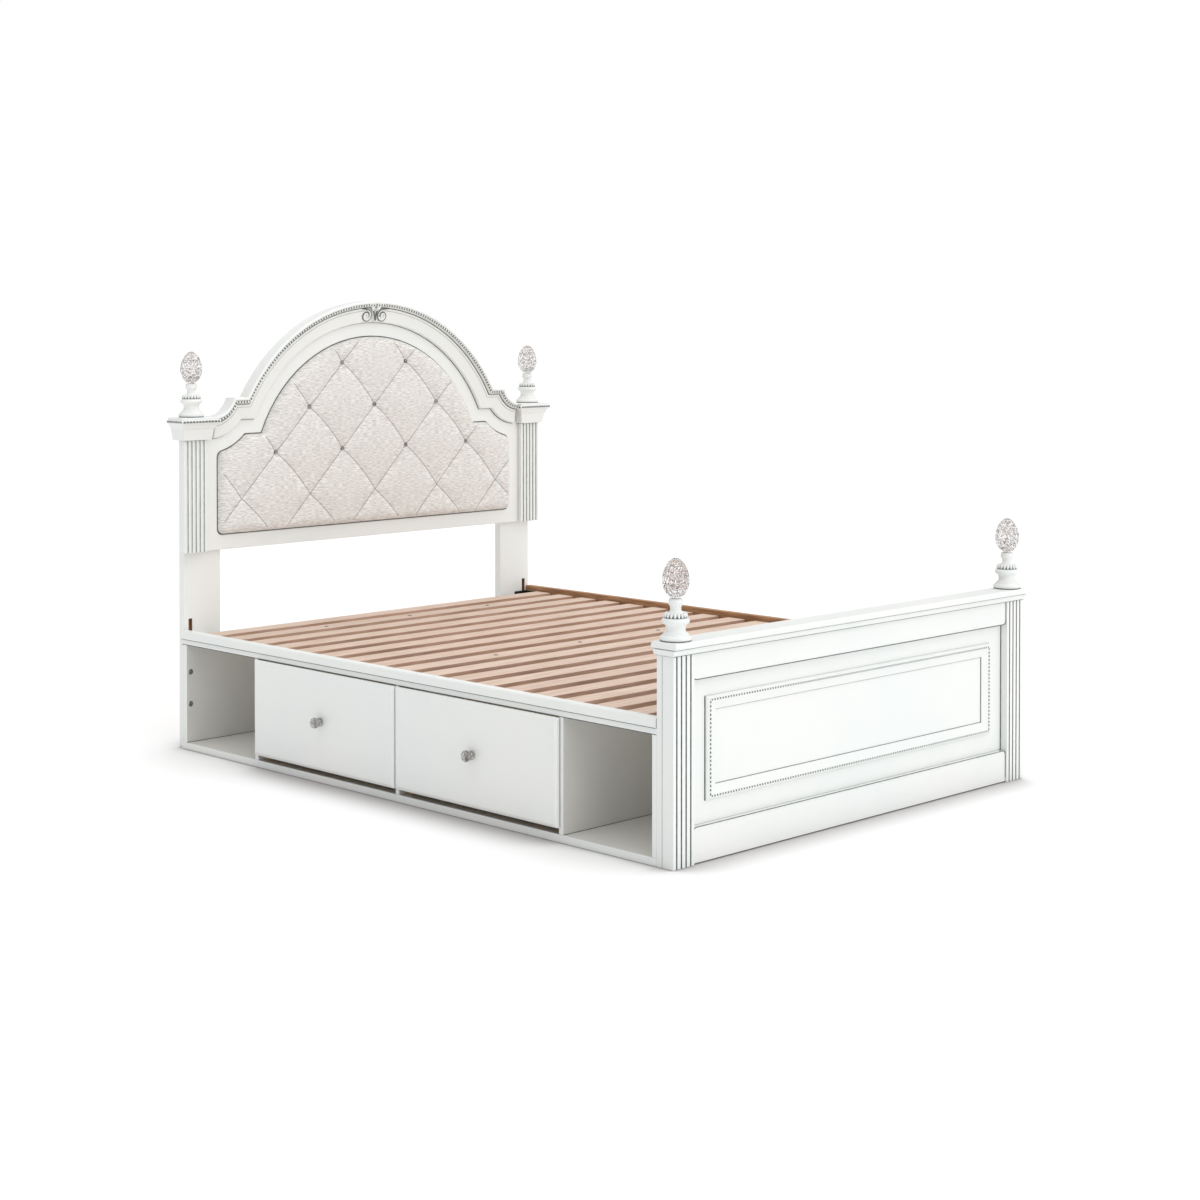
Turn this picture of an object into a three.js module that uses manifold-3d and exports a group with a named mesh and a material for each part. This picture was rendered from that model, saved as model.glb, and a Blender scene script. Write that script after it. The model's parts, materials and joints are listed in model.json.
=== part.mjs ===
// Full-size storage bed frame: arched upholstered headboard, panelled footboard, four crystal-topped
// finials, a storage unit with two drawers and two open cubbies along one side, a plain side rail along the
// other, and slats. Millimetres, +Z up, +Y towards the headboard, drawers open towards -X.
// Origin: bottom centre of the whole bed.
import * as THREE from "three";
import { mergeVertices } from "three/addons/utils/BufferGeometryUtils.js";
import Module from "manifold-3d";

// ---- driving dimensions --------------------------------------------------------------------------
const LENGTH = 2063; // front of the foot cap to the back of the headboard legs
const POST_OUT = 715.5; // outer side of the foot posts, from the centre line
const GAP = 0.3; // clearance left between touching pieces

const FOOT_FACE = -LENGTH / 2 + 18; // front face of the foot posts
// distances measured back from the front of the foot posts
const fromFoot = (distance) => FOOT_FACE + distance;

const HEAD = {
  columnOut: 724, // outer side of the pilasters
  columnIn: 643, // inner side of the pilasters
  bottom: 587, // underside of the headboard body
  capitalBottom: 924,
  capitalTop: 993,
  pilasterFront: fromFoot(1987),
  mouldingFront: fromFoot(1969),
  boardFront: fromFoot(2002),
  boardBack: fromFoot(2018),
  legBack: fromFoot(2045),
  legIn: 575.5,
  legOut: 705,
  legTop: 905,
};
const ARCH = {
  centreZ: 762, // centre of the big round arch
  radius: 578.5, // its outer radius, so the crown is at 1340.5
  ledgeZ: 1047.5, // the short level shoulder
  coveX: 626, // centre of the concave sweep beside the capital
  coveZ: 1068,
  coveRadius: 75,
  mouldingWidth: 68,
  frameWidth: 111, // outer edge of the moulding to the edge of the upholstered pad
};
const PAD = {
  halfWidth: 597,
  bottom: 632,
  cornerRadius: 18,
  shoulderRadius: 24,
  front: fromFoot(1976),
  back: fromFoot(2009.7),
};

const FOOT = {
  postWidth: 73.5,
  postDepth: 54,
  capBottom: 504,
  capTop: 536,
  railFront: 5, // front of the cross rails, back from the post face
  railCorner: 12,
  railBack: 39,
  panelFront: 22,
  panelBack: 33,
  topRailBottom: 440.5,
  bottomRailTop: 88,
  bottomRailBottom: 2,
  frameOuter: { halfWidth: 582, low: 142, high: 393 },
  frameWidth: 35,
};
// pitch, width and depth of the grooves
const POST_GROOVES = { count: 4, pitch: 16.2, width: 5.2, depth: 3.4 };
const PILASTER_FLUTES = { count: 5, pitch: 14.5, width: 8.4, depth: 4 };

const FINIAL = { stem: 101, total: 194, egg: 33 };

const SLAT = {
  top: 347,
  thickness: 18,
  width: 67,
  pitch: 109.8,
  count: 17,
  first: fromFoot(1921),
  left: -689.5,
  right: 689,
};
const STRAP = { width: 26, thickness: 2, xs: [-560, 630] };
const RAIL = {
  inner: 694,
  outer: 715.5,
  top: 362,
  bottom: 176,
  from: fromFoot(FOOT.postDepth),
  to: fromFoot(2018),
};

const STORE = {
  front: -715.5, // outer plane of the storage side
  back: -370,
  board: 15, // panel thickness
  floor: 20,
  topOfPanels: 313,
  stretcherTop: 328.7,
  railTop: 353,
  foot: fromFoot(FOOT.postDepth),
  head: fromFoot(2017.7),
};
// foot-side faces of the upright panels: foot end, three dividers, head end
const UPRIGHTS = {
  storage_foot_end_panel: fromFoot(FOOT.postDepth + GAP),
  storage_divider_foot: fromFoot(372.5),
  storage_divider_middle: fromFoot(1002.75),
  storage_divider_head: fromFoot(1633),
  storage_head_end_panel: fromFoot(1991.5),
};
const DRAWER = {
  face: -729, // the fronts stand out over the panels' edges
  frontThickness: 11.5,
  bevelWidth: 9,
  bevelDepth: 4.5,
  frontLow: 37,
  frontHigh: 311,
  sideClearance: 4.4,
  side: 12,
  sideLow: 39,
  sideHigh: 250,
  boxBack: -392,
  floor: 6,
  floorAt: 50,
  knobRadius: 15.8,
};
const DRAWER_FRONTS = { foot: [fromFoot(382.7), fromFoot(1007.5)], head: [fromFoot(1013.5), fromFoot(1638)] };
const DRAWER_OPENINGS = {
  foot: [UPRIGHTS.storage_divider_foot + STORE.board, UPRIGHTS.storage_divider_middle],
  head: [UPRIGHTS.storage_divider_middle + STORE.board, UPRIGHTS.storage_divider_head],
};
const RUNNER = { front: -688, width: 20, top: 38.5 };
const SUPPORT = { size: 38, xs: [-330, 0, 330], slats: { head: 1, middle: 8, foot: 15 }, footHeight: 12 };
const HOOK_SLOT = { x: 683, width: 13, low: 300, high: 386, depth: 14 };

// ---- finishes ------------------------------------------------------------------------------------
function finish(color, roughness, metalness = 0) {
  return new THREE.MeshStandardMaterial({ color, roughness, metalness });
}
const paint = () => finish(0xe9eae6, 0.45);
const rawWood = () => finish(0xb08457, 0.7);
const paleSlat = () => finish(0xd9bfae, 0.7);
const fabric = () => finish(0xd5cdc6, 0.95);
const crystal = () => finish(0xe8e6e6, 0.08);
const chrome = () => finish(0xc9c9c9, 0.2, 1);
const blackSteel = () => finish(0x1c1f22, 0.45, 0.7);

// ---- solid helpers -------------------------------------------------------------------------------
const wasm = await Module();
wasm.setup();

// A three.js geometry as a manifold solid, with its shared vertices merged.
function solid(geometry) {
  const bare = geometry.clone();
  bare.deleteAttribute("normal");
  bare.deleteAttribute("uv");
  const merged = mergeVertices(bare, 1e-4);
  return new wasm.Manifold(
    new wasm.Mesh({
      numProp: 3,
      vertProperties: new Float32Array(merged.attributes.position.array),
      triVerts: new Uint32Array(merged.index.array),
    })
  );
}

// A manifold solid back as a three.js geometry.
function fromSolid(body) {
  const mesh = body.getMesh();
  const geometry = new THREE.BufferGeometry();
  geometry.setAttribute("position", new THREE.BufferAttribute(new Float32Array(mesh.vertProperties), 3));
  geometry.setIndex(new THREE.BufferAttribute(new Uint32Array(mesh.triVerts), 1));
  return geometry;
}

const joined = (...geometries) => fromSolid(geometries.map(solid).reduce((a, b) => a.add(b)));
const cut = (geometry, ...tools) =>
  fromSolid(tools.map(solid).reduce((a, b) => a.subtract(b), solid(geometry)));

// A box given by its two corners.
function box(x0, x1, y0, y1, z0, z1) {
  const geometry = new THREE.BoxGeometry(x1 - x0, y1 - y0, z1 - z0);
  return geometry.translate((x0 + x1) / 2, (y0 + y1) / 2, (z0 + z1) / 2);
}

// A front-view outline (x, z), cut from a sheet lying between two y planes.
function sheet(shape, yFront, yBack) {
  const options = { depth: yBack - yFront, bevelEnabled: false, curveSegments: 8 };
  const geometry = new THREE.ExtrudeGeometry(shape, options);
  return geometry.rotateX(Math.PI / 2).translate(0, yBack, 0);
}

// A cross section (y, z) run along x.
function alongX(section, x0, x1) {
  const shape = new THREE.Shape(section.map(([y, z]) => new THREE.Vector2(y, z)));
  const geometry = new THREE.ExtrudeGeometry(shape, { depth: x1 - x0, bevelEnabled: false });
  const basis = new THREE.Matrix4().makeBasis(
    new THREE.Vector3(0, 1, 0),
    new THREE.Vector3(0, 0, 1),
    new THREE.Vector3(1, 0, 0)
  );
  return geometry.applyMatrix4(basis).translate(x0, 0, 0);
}

// A block whose rectangular outline changes with height, given as levels [x0, x1, y0, y1, z] going up.
function stepped(levels) {
  const positions = [];
  for (const [x0, x1, y0, y1, z] of levels) positions.push(x0, y0, z, x1, y0, z, x1, y1, z, x0, y1, z);
  const faces = [0, 2, 1, 0, 3, 2];
  for (let level = 0; level + 1 < levels.length; level++) {
    for (let side = 0; side < 4; side++) {
      const a = level * 4 + side;
      const b = level * 4 + ((side + 1) % 4);
      faces.push(a, b, b + 4, a, b + 4, a + 4);
    }
  }
  const top = (levels.length - 1) * 4;
  faces.push(top, top + 1, top + 2, top, top + 2, top + 3);
  const geometry = new THREE.BufferGeometry();
  geometry.setAttribute("position", new THREE.Float32BufferAttribute(positions, 3));
  geometry.setIndex(faces);
  return geometry;
}

// A turned shape: the profile is [radius, height] from the bottom up, starting and ending on the axis.
function turned(profile, segments) {
  const points = profile.map(([r, h]) => new THREE.Vector2(r, h));
  return new THREE.LatheGeometry(points, segments).rotateX(Math.PI / 2);
}

const bed = new THREE.Group();
function add(parent, name, geometry, material, position = [0, 0, 0]) {
  const mesh = new THREE.Mesh(geometry, material);
  mesh.name = name;
  mesh.position.set(...position);
  parent.add(mesh);
}
const sides = { left: -1, right: 1 };

// ---- headboard outline ---------------------------------------------------------------------------
// The top edge of the headboard moved inwards by an offset, from the left capital to the right one:
// a level stretch, a concave sweep, a short shoulder, and the big arch; the right half mirrors the left.
function topEdge(offset, startX, sweepSteps = 6, archSteps = 28) {
  const sweepRadius = ARCH.coveRadius + offset;
  const archRadius = ARCH.radius - offset;
  const shoulder = ARCH.ledgeZ - offset;
  const sweepEnd = Math.acos((ARCH.coveZ - shoulder) / sweepRadius);
  const archStart = Math.asin((shoulder - ARCH.centreZ) / archRadius);
  const left = [[-startX, ARCH.coveZ - sweepRadius]];
  const sweepStart = startX < ARCH.coveX ? Math.asin((ARCH.coveX - startX) / sweepRadius) : 0;
  if (sweepStart > 0) left[0][1] = ARCH.coveZ - sweepRadius * Math.cos(sweepStart);
  else left.push([-ARCH.coveX, ARCH.coveZ - sweepRadius]);
  for (let i = 1; i <= sweepSteps; i++) {
    const angle = sweepStart + ((sweepEnd - sweepStart) * i) / sweepSteps;
    left.push([-ARCH.coveX + sweepRadius * Math.sin(angle), ARCH.coveZ - sweepRadius * Math.cos(angle)]);
  }
  for (let i = 0; i < archSteps / 2; i++) {
    const angle = Math.PI - archStart - ((Math.PI / 2 - archStart) * i) / (archSteps / 2);
    left.push([archRadius * Math.cos(angle), ARCH.centreZ + archRadius * Math.sin(angle)]);
  }
  const right = left.map(([x, z]) => [-x, z]).reverse();
  return [...left, [0, ARCH.centreZ + archRadius], ...right];
}

// The outline of the upholstered pad, shrunk by a clearance: rounded bottom corners and shoulders.
function padOutline(clearance) {
  const halfWidth = PAD.halfWidth - clearance;
  const bottom = PAD.bottom + clearance;
  const edge = topEdge(ARCH.frameWidth + clearance, halfWidth - PAD.shoulderRadius);
  const [startX, startZ] = edge[0];
  const corner = PAD.cornerRadius;
  const shape = new THREE.Shape();
  shape.moveTo(0, bottom);
  shape.lineTo(halfWidth - corner, bottom);
  shape.absarc(halfWidth - corner, bottom + corner, corner, -Math.PI / 2, 0, false);
  shape.lineTo(halfWidth, startZ - PAD.shoulderRadius);
  shape.quadraticCurveTo(halfWidth, startZ - 4, -startX, startZ);
  for (const [x, z] of [...edge].reverse().slice(1)) shape.lineTo(x, z);
  shape.quadraticCurveTo(-halfWidth, startZ - 4, -halfWidth, startZ - PAD.shoulderRadius);
  shape.lineTo(-halfWidth, bottom + corner);
  shape.absarc(-halfWidth + corner, bottom + corner, corner, Math.PI, Math.PI * 1.5, false);
  shape.closePath();
  return shape;
}

// ---- headboard -----------------------------------------------------------------------------------
const headboard = new THREE.Group();
bed.add(headboard);

// The flat board with the arched top, cut out for the pad.
function frameBoardShape() {
  const shape = new THREE.Shape();
  shape.moveTo(-HEAD.columnOut, HEAD.bottom);
  shape.lineTo(HEAD.columnOut, HEAD.bottom);
  shape.lineTo(HEAD.columnOut, HEAD.capitalBottom);
  shape.lineTo(HEAD.columnIn - GAP, HEAD.capitalBottom);
  for (const [x, z] of topEdge(0, HEAD.columnIn - GAP).reverse()) shape.lineTo(x, z);
  shape.lineTo(-HEAD.columnIn + GAP, HEAD.capitalBottom);
  shape.lineTo(-HEAD.columnOut, HEAD.capitalBottom);
  shape.closePath();
  shape.holes.push(new THREE.Path(padOutline(0).getPoints(8).reverse()));
  return shape;
}
add(headboard, "headboard_frame_board", sheet(frameBoardShape(), HEAD.boardFront, HEAD.boardBack), paint());
add(headboard, "headboard_backing_board", sheet(padOutline(GAP), PAD.back + GAP, HEAD.boardBack), rawWood());
add(headboard, "headboard_pad", sheet(padOutline(3), PAD.front, PAD.back), fabric());

// The crown moulding: its section is [distance in from the outer edge, distance in front of the board].
// It runs from one capital to the other.
const capitalOverhang = 27;
const crownSection = [
  [0, GAP],
  [0, 30],
  [3, 33],
  [8, 33],
  [9.5, 30],
  [16, 29],
  [20, 20],
  [29, 19],
  [ARCH.mouldingWidth - 3, 12],
  [ARCH.mouldingWidth, 8],
  [ARCH.mouldingWidth, GAP],
];
const crownReach = HEAD.columnIn - capitalOverhang - GAP;
function crownMoulding() {
  const rows = crownSection.map(([offset, proud]) =>
    topEdge(offset, crownReach).map(([x, z]) => [x, HEAD.boardFront - proud, z])
  );
  const columns = rows[0].length;
  const positions = rows.flat(2);
  const faces = [];
  for (let row = 0; row < rows.length; row++) {
    const next = (row + 1) % rows.length;
    for (let column = 0; column + 1 < columns; column++) {
      const a = row * columns + column;
      const b = next * columns + column;
      faces.push(a, b, b + 1, a, b + 1, a + 1);
    }
  }
  const section = crownSection.map(([offset, proud]) => new THREE.Vector2(offset, proud));
  for (const [a, b, c] of THREE.ShapeUtils.triangulateShape(section, [])) {
    faces.push(a * columns, b * columns, c * columns);
    const end = columns - 1;
    faces.push(a * columns + end, c * columns + end, b * columns + end);
  }
  const geometry = new THREE.BufferGeometry();
  geometry.setAttribute("position", new THREE.Float32BufferAttribute(positions, 3));
  geometry.setIndex(faces);
  return geometry;
}
add(headboard, "headboard_crown_moulding", crownMoulding(), paint());

const SCROLL = { eyeX: 32.5, eyeZ: 1293, radius: 18.5, leafX: 30, leafZ: 1336 };
// The carved ornament on the crown: two volutes under a fan of leaves, its back shaped to the moulding.
function scrollOrnament() {
  const back = HEAD.mouldingFront + 18;
  const front = HEAD.mouldingFront - 7;
  const volutes = [-1, 1].map((side) => {
    const shape = new THREE.Shape();
    shape.absarc(side * SCROLL.eyeX, SCROLL.eyeZ, SCROLL.radius, 0, Math.PI * 2, false);
    return sheet(shape, front, back);
  });
  const fan = new THREE.Shape();
  fan.moveTo(-SCROLL.eyeX, SCROLL.eyeZ - 15);
  fan.lineTo(SCROLL.eyeX, SCROLL.eyeZ - 15);
  fan.quadraticCurveTo(6, 1316, SCROLL.leafX, SCROLL.leafZ);
  fan.quadraticCurveTo(0, 1345, -SCROLL.leafX, SCROLL.leafZ);
  fan.quadraticCurveTo(-6, 1316, -SCROLL.eyeX, SCROLL.eyeZ - 15);
  const carving = joined(volutes[0], volutes[1], sheet(fan, front, back));
  const hollow = crownSection.map(([offset, proud]) => [
    HEAD.boardFront - proud - GAP,
    ARCH.centreZ + ARCH.radius - offset - 1.5,
  ]);
  const above = ARCH.centreZ + ARCH.radius + 10;
  const behind = HEAD.boardFront + 10;
  const seat = [[behind, above], [HEAD.mouldingFront - GAP, above], ...hollow.slice(2), [behind, hollow.at(-1)[1]]];
  return cut(carving, alongX(seat, -60, 60));
}
add(headboard, "crown_scroll_ornament", scrollOrnament(), paint());

// The outline of a block seen from above, with flutes cut in its front face.
function flutedSection(x0, x1, front, back, flutes) {
  const points = [new THREE.Vector2(x0, front)];
  const middle = (x0 + x1) / 2;
  const { count, pitch, width, depth } = flutes;
  for (let i = 0; i < count; i++) {
    const centre = middle + (i - (count - 1) / 2) * pitch;
    points.push(new THREE.Vector2(centre - width / 2, front));
    points.push(new THREE.Vector2(centre - width / 5, front + depth));
    points.push(new THREE.Vector2(centre + width / 5, front + depth));
    points.push(new THREE.Vector2(centre + width / 2, front));
  }
  points.push(new THREE.Vector2(x1, front), new THREE.Vector2(x1, back), new THREE.Vector2(x0, back));
  return new THREE.Shape(points);
}
const upright = (shape, low, high) =>
  new THREE.ExtrudeGeometry(shape, { depth: high - low, bevelEnabled: false }).translate(0, 0, low);

// The capital over each pilaster: [height above its underside, overhang].
const capitalSteps = [
  [0.3, 8],
  [34, 14],
  [36.5, 17],
  [44, 20],
  [50, 24],
  [53, capitalOverhang],
  [60, capitalOverhang],
  [61.5, 24.5],
  [67, 25],
  [69, 23],
];
for (const [name, side] of Object.entries(sides)) {
  const span = (near, far) => (side > 0 ? [near, far] : [-far, -near]);
  const [x0, x1] = span(HEAD.columnIn, HEAD.columnOut);

  const pilaster = flutedSection(x0, x1, HEAD.pilasterFront, HEAD.boardFront - GAP, PILASTER_FLUTES);
  add(headboard, `pilaster_${name}`, upright(pilaster, HEAD.bottom, HEAD.capitalBottom), paint());

  // The capital wraps round the pilaster and is notched where it meets the board.
  const capitalLevels = capitalSteps.map(([up, over]) => [
    ...span(HEAD.columnIn - over, HEAD.columnOut + over),
    HEAD.pilasterFront - over - 4,
    HEAD.boardBack + 19,
    HEAD.capitalBottom + up,
  ]);
  const notch = box(
    ...span(HEAD.columnIn - 40, HEAD.columnIn),
    HEAD.boardFront - GAP,
    HEAD.legBack,
    HEAD.capitalBottom - 10,
    HEAD.capitalTop + 10
  );
  add(headboard, `capital_${name}`, cut(stepped(capitalLevels), notch), paint());

  const [leg0, leg1] = span(HEAD.legIn, HEAD.legOut);
  const slotX = side * HOOK_SLOT.x;
  const leg = cut(
    box(leg0, leg1, HEAD.boardBack + GAP, HEAD.legBack, 0, HEAD.legTop),
    box(
      slotX - HOOK_SLOT.width / 2,
      slotX + HOOK_SLOT.width / 2,
      HEAD.boardBack - 1,
      HEAD.boardBack + HOOK_SLOT.depth,
      HOOK_SLOT.low,
      HOOK_SLOT.high
    )
  );
  add(headboard, `headboard_leg_${name}`, leg, paint());
}

// ---- finials -------------------------------------------------------------------------------------
const stemProfile = [
  [0, 0],
  [36, 0],
  [39, 5],
  [37, 12],
  [31, 14],
  [30, 17],
  [25, 21],
  [23, 29],
  [26, 39],
  [33, 43],
  [34, 48],
  [31, 54],
  [26, 56],
  [27, 62],
  [22, 67],
  [14, 71],
  [13, 77],
  [16, 85],
  [18.3, 90],
  [17, 97],
  [13, FINIAL.stem],
  [0, FINIAL.stem],
];
// A faceted egg, widest a little below the middle.
function eggProfile(low, high, radius, steps) {
  const points = [[0, low]];
  for (let i = 1; i < steps; i++) {
    const t = i / steps;
    const round = Math.sin(Math.PI * t ** 0.88);
    points.push([radius * round ** 0.8, low + (high - low) * t]);
  }
  points.push([0, high]);
  return points;
}
const finialPlaces = {
  head: { y: fromFoot(2003), z: HEAD.capitalTop + GAP, x: (HEAD.columnIn + HEAD.columnOut) / 2 + 4 },
  foot: { y: fromFoot(FOOT.postDepth / 2), z: FOOT.capTop + GAP, x: POST_OUT - FOOT.postWidth / 2 },
};
for (const [end, place] of Object.entries(finialPlaces)) {
  for (const [name, side] of Object.entries(sides)) {
    const finial = new THREE.Group();
    finial.position.set(side * place.x, place.y, place.z);
    bed.add(finial);
    add(finial, `finial_stem_${end}_${name}`, turned(stemProfile, 16), paint());
    const egg = turned(eggProfile(FINIAL.stem + GAP, FINIAL.total, FINIAL.egg, 7), 12);
    add(finial, `finial_crystal_${end}_${name}`, egg, crystal());
  }
}

// ---- footboard -----------------------------------------------------------------------------------
const footboard = new THREE.Group();
bed.add(footboard);
const railReach = POST_OUT - FOOT.postWidth - GAP;
for (const [name, side] of Object.entries(sides)) {
  const [x0, x1] = [side * POST_OUT, side * (POST_OUT - FOOT.postWidth)].sort((a, b) => a - b);
  const section = flutedSection(x0, x1, FOOT_FACE, fromFoot(FOOT.postDepth), POST_GROOVES);
  add(footboard, `foot_post_${name}`, upright(section, 0, FOOT.capBottom - GAP), paint());
}
// The moulded cap: [height, overhang in front, overhang at the sides and back].
const capSteps = [
  [FOOT.capBottom, 3, 2],
  [508, 7, 6],
  [518, 8, 7],
  [520, 5, 4],
  [521, 16, 9],
  [524, 18, 10],
  [532, 18, 10],
  [FOOT.capTop, 14, 7],
];
const cap = capSteps.map(([z, front, side]) => [
  -POST_OUT - side,
  POST_OUT + side,
  FOOT_FACE - front,
  fromFoot(FOOT.postDepth) + side,
  z,
]);
add(footboard, "foot_cap_rail", stepped(cap), paint());

// Cross rails, rounded at the corners that meet the panel, and the panel between them.
function crossRail(panelEdge, farEdge) {
  const turn = Math.sign(farEdge - panelEdge) * FOOT.railCorner;
  const shape = new THREE.Shape();
  shape.moveTo(-railReach, farEdge);
  shape.lineTo(railReach, farEdge);
  shape.lineTo(railReach, panelEdge + turn);
  shape.quadraticCurveTo(railReach, panelEdge, railReach - FOOT.railCorner, panelEdge);
  shape.lineTo(-railReach + FOOT.railCorner, panelEdge);
  shape.quadraticCurveTo(-railReach, panelEdge, -railReach, panelEdge + turn);
  shape.closePath();
  return sheet(shape, fromFoot(FOOT.railFront), fromFoot(FOOT.railBack));
}
add(footboard, "foot_top_rail", crossRail(FOOT.topRailBottom, FOOT.capBottom - GAP), paint());
add(footboard, "foot_bottom_rail", crossRail(FOOT.bottomRailTop, FOOT.bottomRailBottom), paint());
const panel = box(
  -railReach,
  railReach,
  fromFoot(FOOT.panelFront),
  fromFoot(FOOT.panelBack),
  FOOT.bottomRailTop + GAP,
  FOOT.topRailBottom - GAP
);
add(footboard, "foot_panel", panel, paint());

// The applied frame moulding on the panel.
function panelMoulding() {
  const { halfWidth, low, high } = FOOT.frameOuter;
  const back = fromFoot(FOOT.panelFront) - GAP;
  const steps = [
    [0, back],
    [0, back - 5],
    [5, back - 10],
    [14, back - 10],
    [FOOT.frameWidth - 8, back - 5],
    [FOOT.frameWidth, back - 3],
    [FOOT.frameWidth, back],
  ];
  const corners = (inset, y) => [
    [-halfWidth + inset, y, low + inset],
    [halfWidth - inset, y, low + inset],
    [halfWidth - inset, y, high - inset],
    [-halfWidth + inset, y, high - inset],
  ];
  const positions = steps.map(([inset, y]) => corners(inset, y)).flat(2);
  const faces = [];
  for (let row = 0; row < steps.length; row++) {
    const next = (row + 1) % steps.length;
    for (let corner = 0; corner < 4; corner++) {
      const after = (corner + 1) % 4;
      faces.push(row * 4 + corner, row * 4 + after, next * 4 + after);
      faces.push(row * 4 + corner, next * 4 + after, next * 4 + corner);
    }
  }
  const geometry = new THREE.BufferGeometry();
  geometry.setAttribute("position", new THREE.Float32BufferAttribute(positions, 3));
  geometry.setIndex(faces);
  return geometry;
}
add(footboard, "foot_panel_moulding", panelMoulding(), paint());

// ---- plain side rail and slats -------------------------------------------------------------------
const base = new THREE.Group();
bed.add(base);
const rail = box(RAIL.inner, RAIL.outer, RAIL.from + GAP, RAIL.to, RAIL.bottom, RAIL.top);
add(base, "side_rail_right", rail, rawWood());
const slatBottom = SLAT.top - SLAT.thickness;
const ledger = box(656, RAIL.inner - GAP, RAIL.from + 60, RAIL.to - 60, slatBottom - 30, slatBottom - GAP);
add(base, "slat_ledger_right", ledger, rawWood());

// Steel angle brackets: one hooks the rail into the slot of the headboard leg, one screws to the foot post.
const BRACKET = { reach: 642, thickness: 3.2, length: 52, low: 304, high: 345 };
function railBracket(endY, direction) {
  const span = (a, b) => [endY + direction * a, endY + direction * b].sort((p, q) => p - q);
  const inner = RAIL.inner - GAP;
  const heights = [BRACKET.low, BRACKET.high];
  const plate = box(BRACKET.reach, inner, ...span(GAP, BRACKET.thickness), ...heights);
  const flange = box(inner - BRACKET.thickness, inner, ...span(GAP, BRACKET.length), ...heights);
  return joined(plate, flange);
}
const hook = box(
  HOOK_SLOT.x - 4,
  HOOK_SLOT.x + 4,
  RAIL.to - 2,
  RAIL.to + HOOK_SLOT.depth - 3,
  BRACKET.low + 6,
  BRACKET.high - 6
);
add(base, "rail_bracket_head", joined(railBracket(RAIL.to, -1), hook), blackSteel());
add(base, "rail_bracket_foot", railBracket(RAIL.from, 1), blackSteel());

// Slats on two webbing straps, rolled out in two lengths.
function slatRoll(first, last) {
  const centre = (index) => SLAT.first - index * SLAT.pitch;
  const pieces = [];
  for (let i = first; i <= last; i++) {
    const y = centre(i);
    pieces.push(box(SLAT.left, SLAT.right, y - SLAT.width / 2, y + SLAT.width / 2, slatBottom, SLAT.top));
  }
  for (const x of STRAP.xs) {
    pieces.push(
      box(
        x - STRAP.width / 2,
        x + STRAP.width / 2,
        centre(last) - SLAT.width / 2 + 5,
        centre(first) + SLAT.width / 2 - 5,
        slatBottom - STRAP.thickness,
        slatBottom + 0.5
      )
    );
  }
  return joined(...pieces);
}
const rollSplit = 8;
add(base, "slat_roll_head", slatRoll(0, rollSplit), paleSlat());
add(base, "slat_roll_foot", slatRoll(rollSplit + 1, SLAT.count - 1), paleSlat());

// Cross bearers bolted under three of the slats, each standing on three legs with round glides.
for (const [name, index] of Object.entries(SUPPORT.slats)) {
  const half = SUPPORT.size / 2;
  const beamTop = slatBottom - STRAP.thickness - GAP;
  const pieces = [box(STORE.back + GAP, 652, -half, half, beamTop - SUPPORT.size, beamTop)];
  for (const x of SUPPORT.xs) {
    const glide = turned([[0, 0], [14, 0], [14, SUPPORT.footHeight + 1], [0, SUPPORT.footHeight + 1]], 16);
    pieces.push(box(x - half, x + half, -half, half, SUPPORT.footHeight, beamTop - 1));
    pieces.push(glide.translate(x, 0, 0));
  }
  const y = SLAT.first - index * SLAT.pitch;
  add(base, `slat_bearer_${name}`, joined(...pieces), rawWood(), [0, y, 0]);
}

// ---- storage unit --------------------------------------------------------------------------------
const storage = new THREE.Group();
bed.add(storage);
const floorPanel = box(STORE.front, STORE.back, STORE.foot + GAP, STORE.head, 0, STORE.floor);
add(storage, "storage_bottom_panel", floorPanel, paint());
const insideBack = STORE.back - STORE.board - GAP;
const onFloor = STORE.floor + GAP;
for (const [name, y] of Object.entries(UPRIGHTS)) {
  const heights = [onFloor, STORE.topOfPanels - GAP];
  add(storage, name, box(STORE.front, insideBack, y, y + STORE.board, ...heights), paint());
}
const lengthwise = [STORE.foot + GAP, STORE.head];
const backPanel = box(STORE.back - STORE.board, STORE.back, ...lengthwise, onFloor, slatBottom - GAP);
add(storage, "storage_back_panel", backPanel, paint());
// Flat stretcher over the panels, which also carries the slat ends, and the moulded rail on it.
const stretcher = box(STORE.front + 1, -630, ...lengthwise, STORE.topOfPanels, STORE.stretcherTop);
add(storage, "storage_front_stretcher", stretcher, paint());
const railFront = STORE.front - 4;
const railSteps = [
  [railFront + 2, STORE.stretcherTop + GAP],
  [railFront, STORE.stretcherTop + 4],
  [railFront, STORE.railTop - 4],
  [railFront + 3, STORE.railTop],
];
const topRail = stepped(railSteps.map(([x, z]) => [x, SLAT.left - 2, STORE.foot + 2, STORE.head, z]));
add(storage, "storage_top_rail", topRail, paint());

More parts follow.
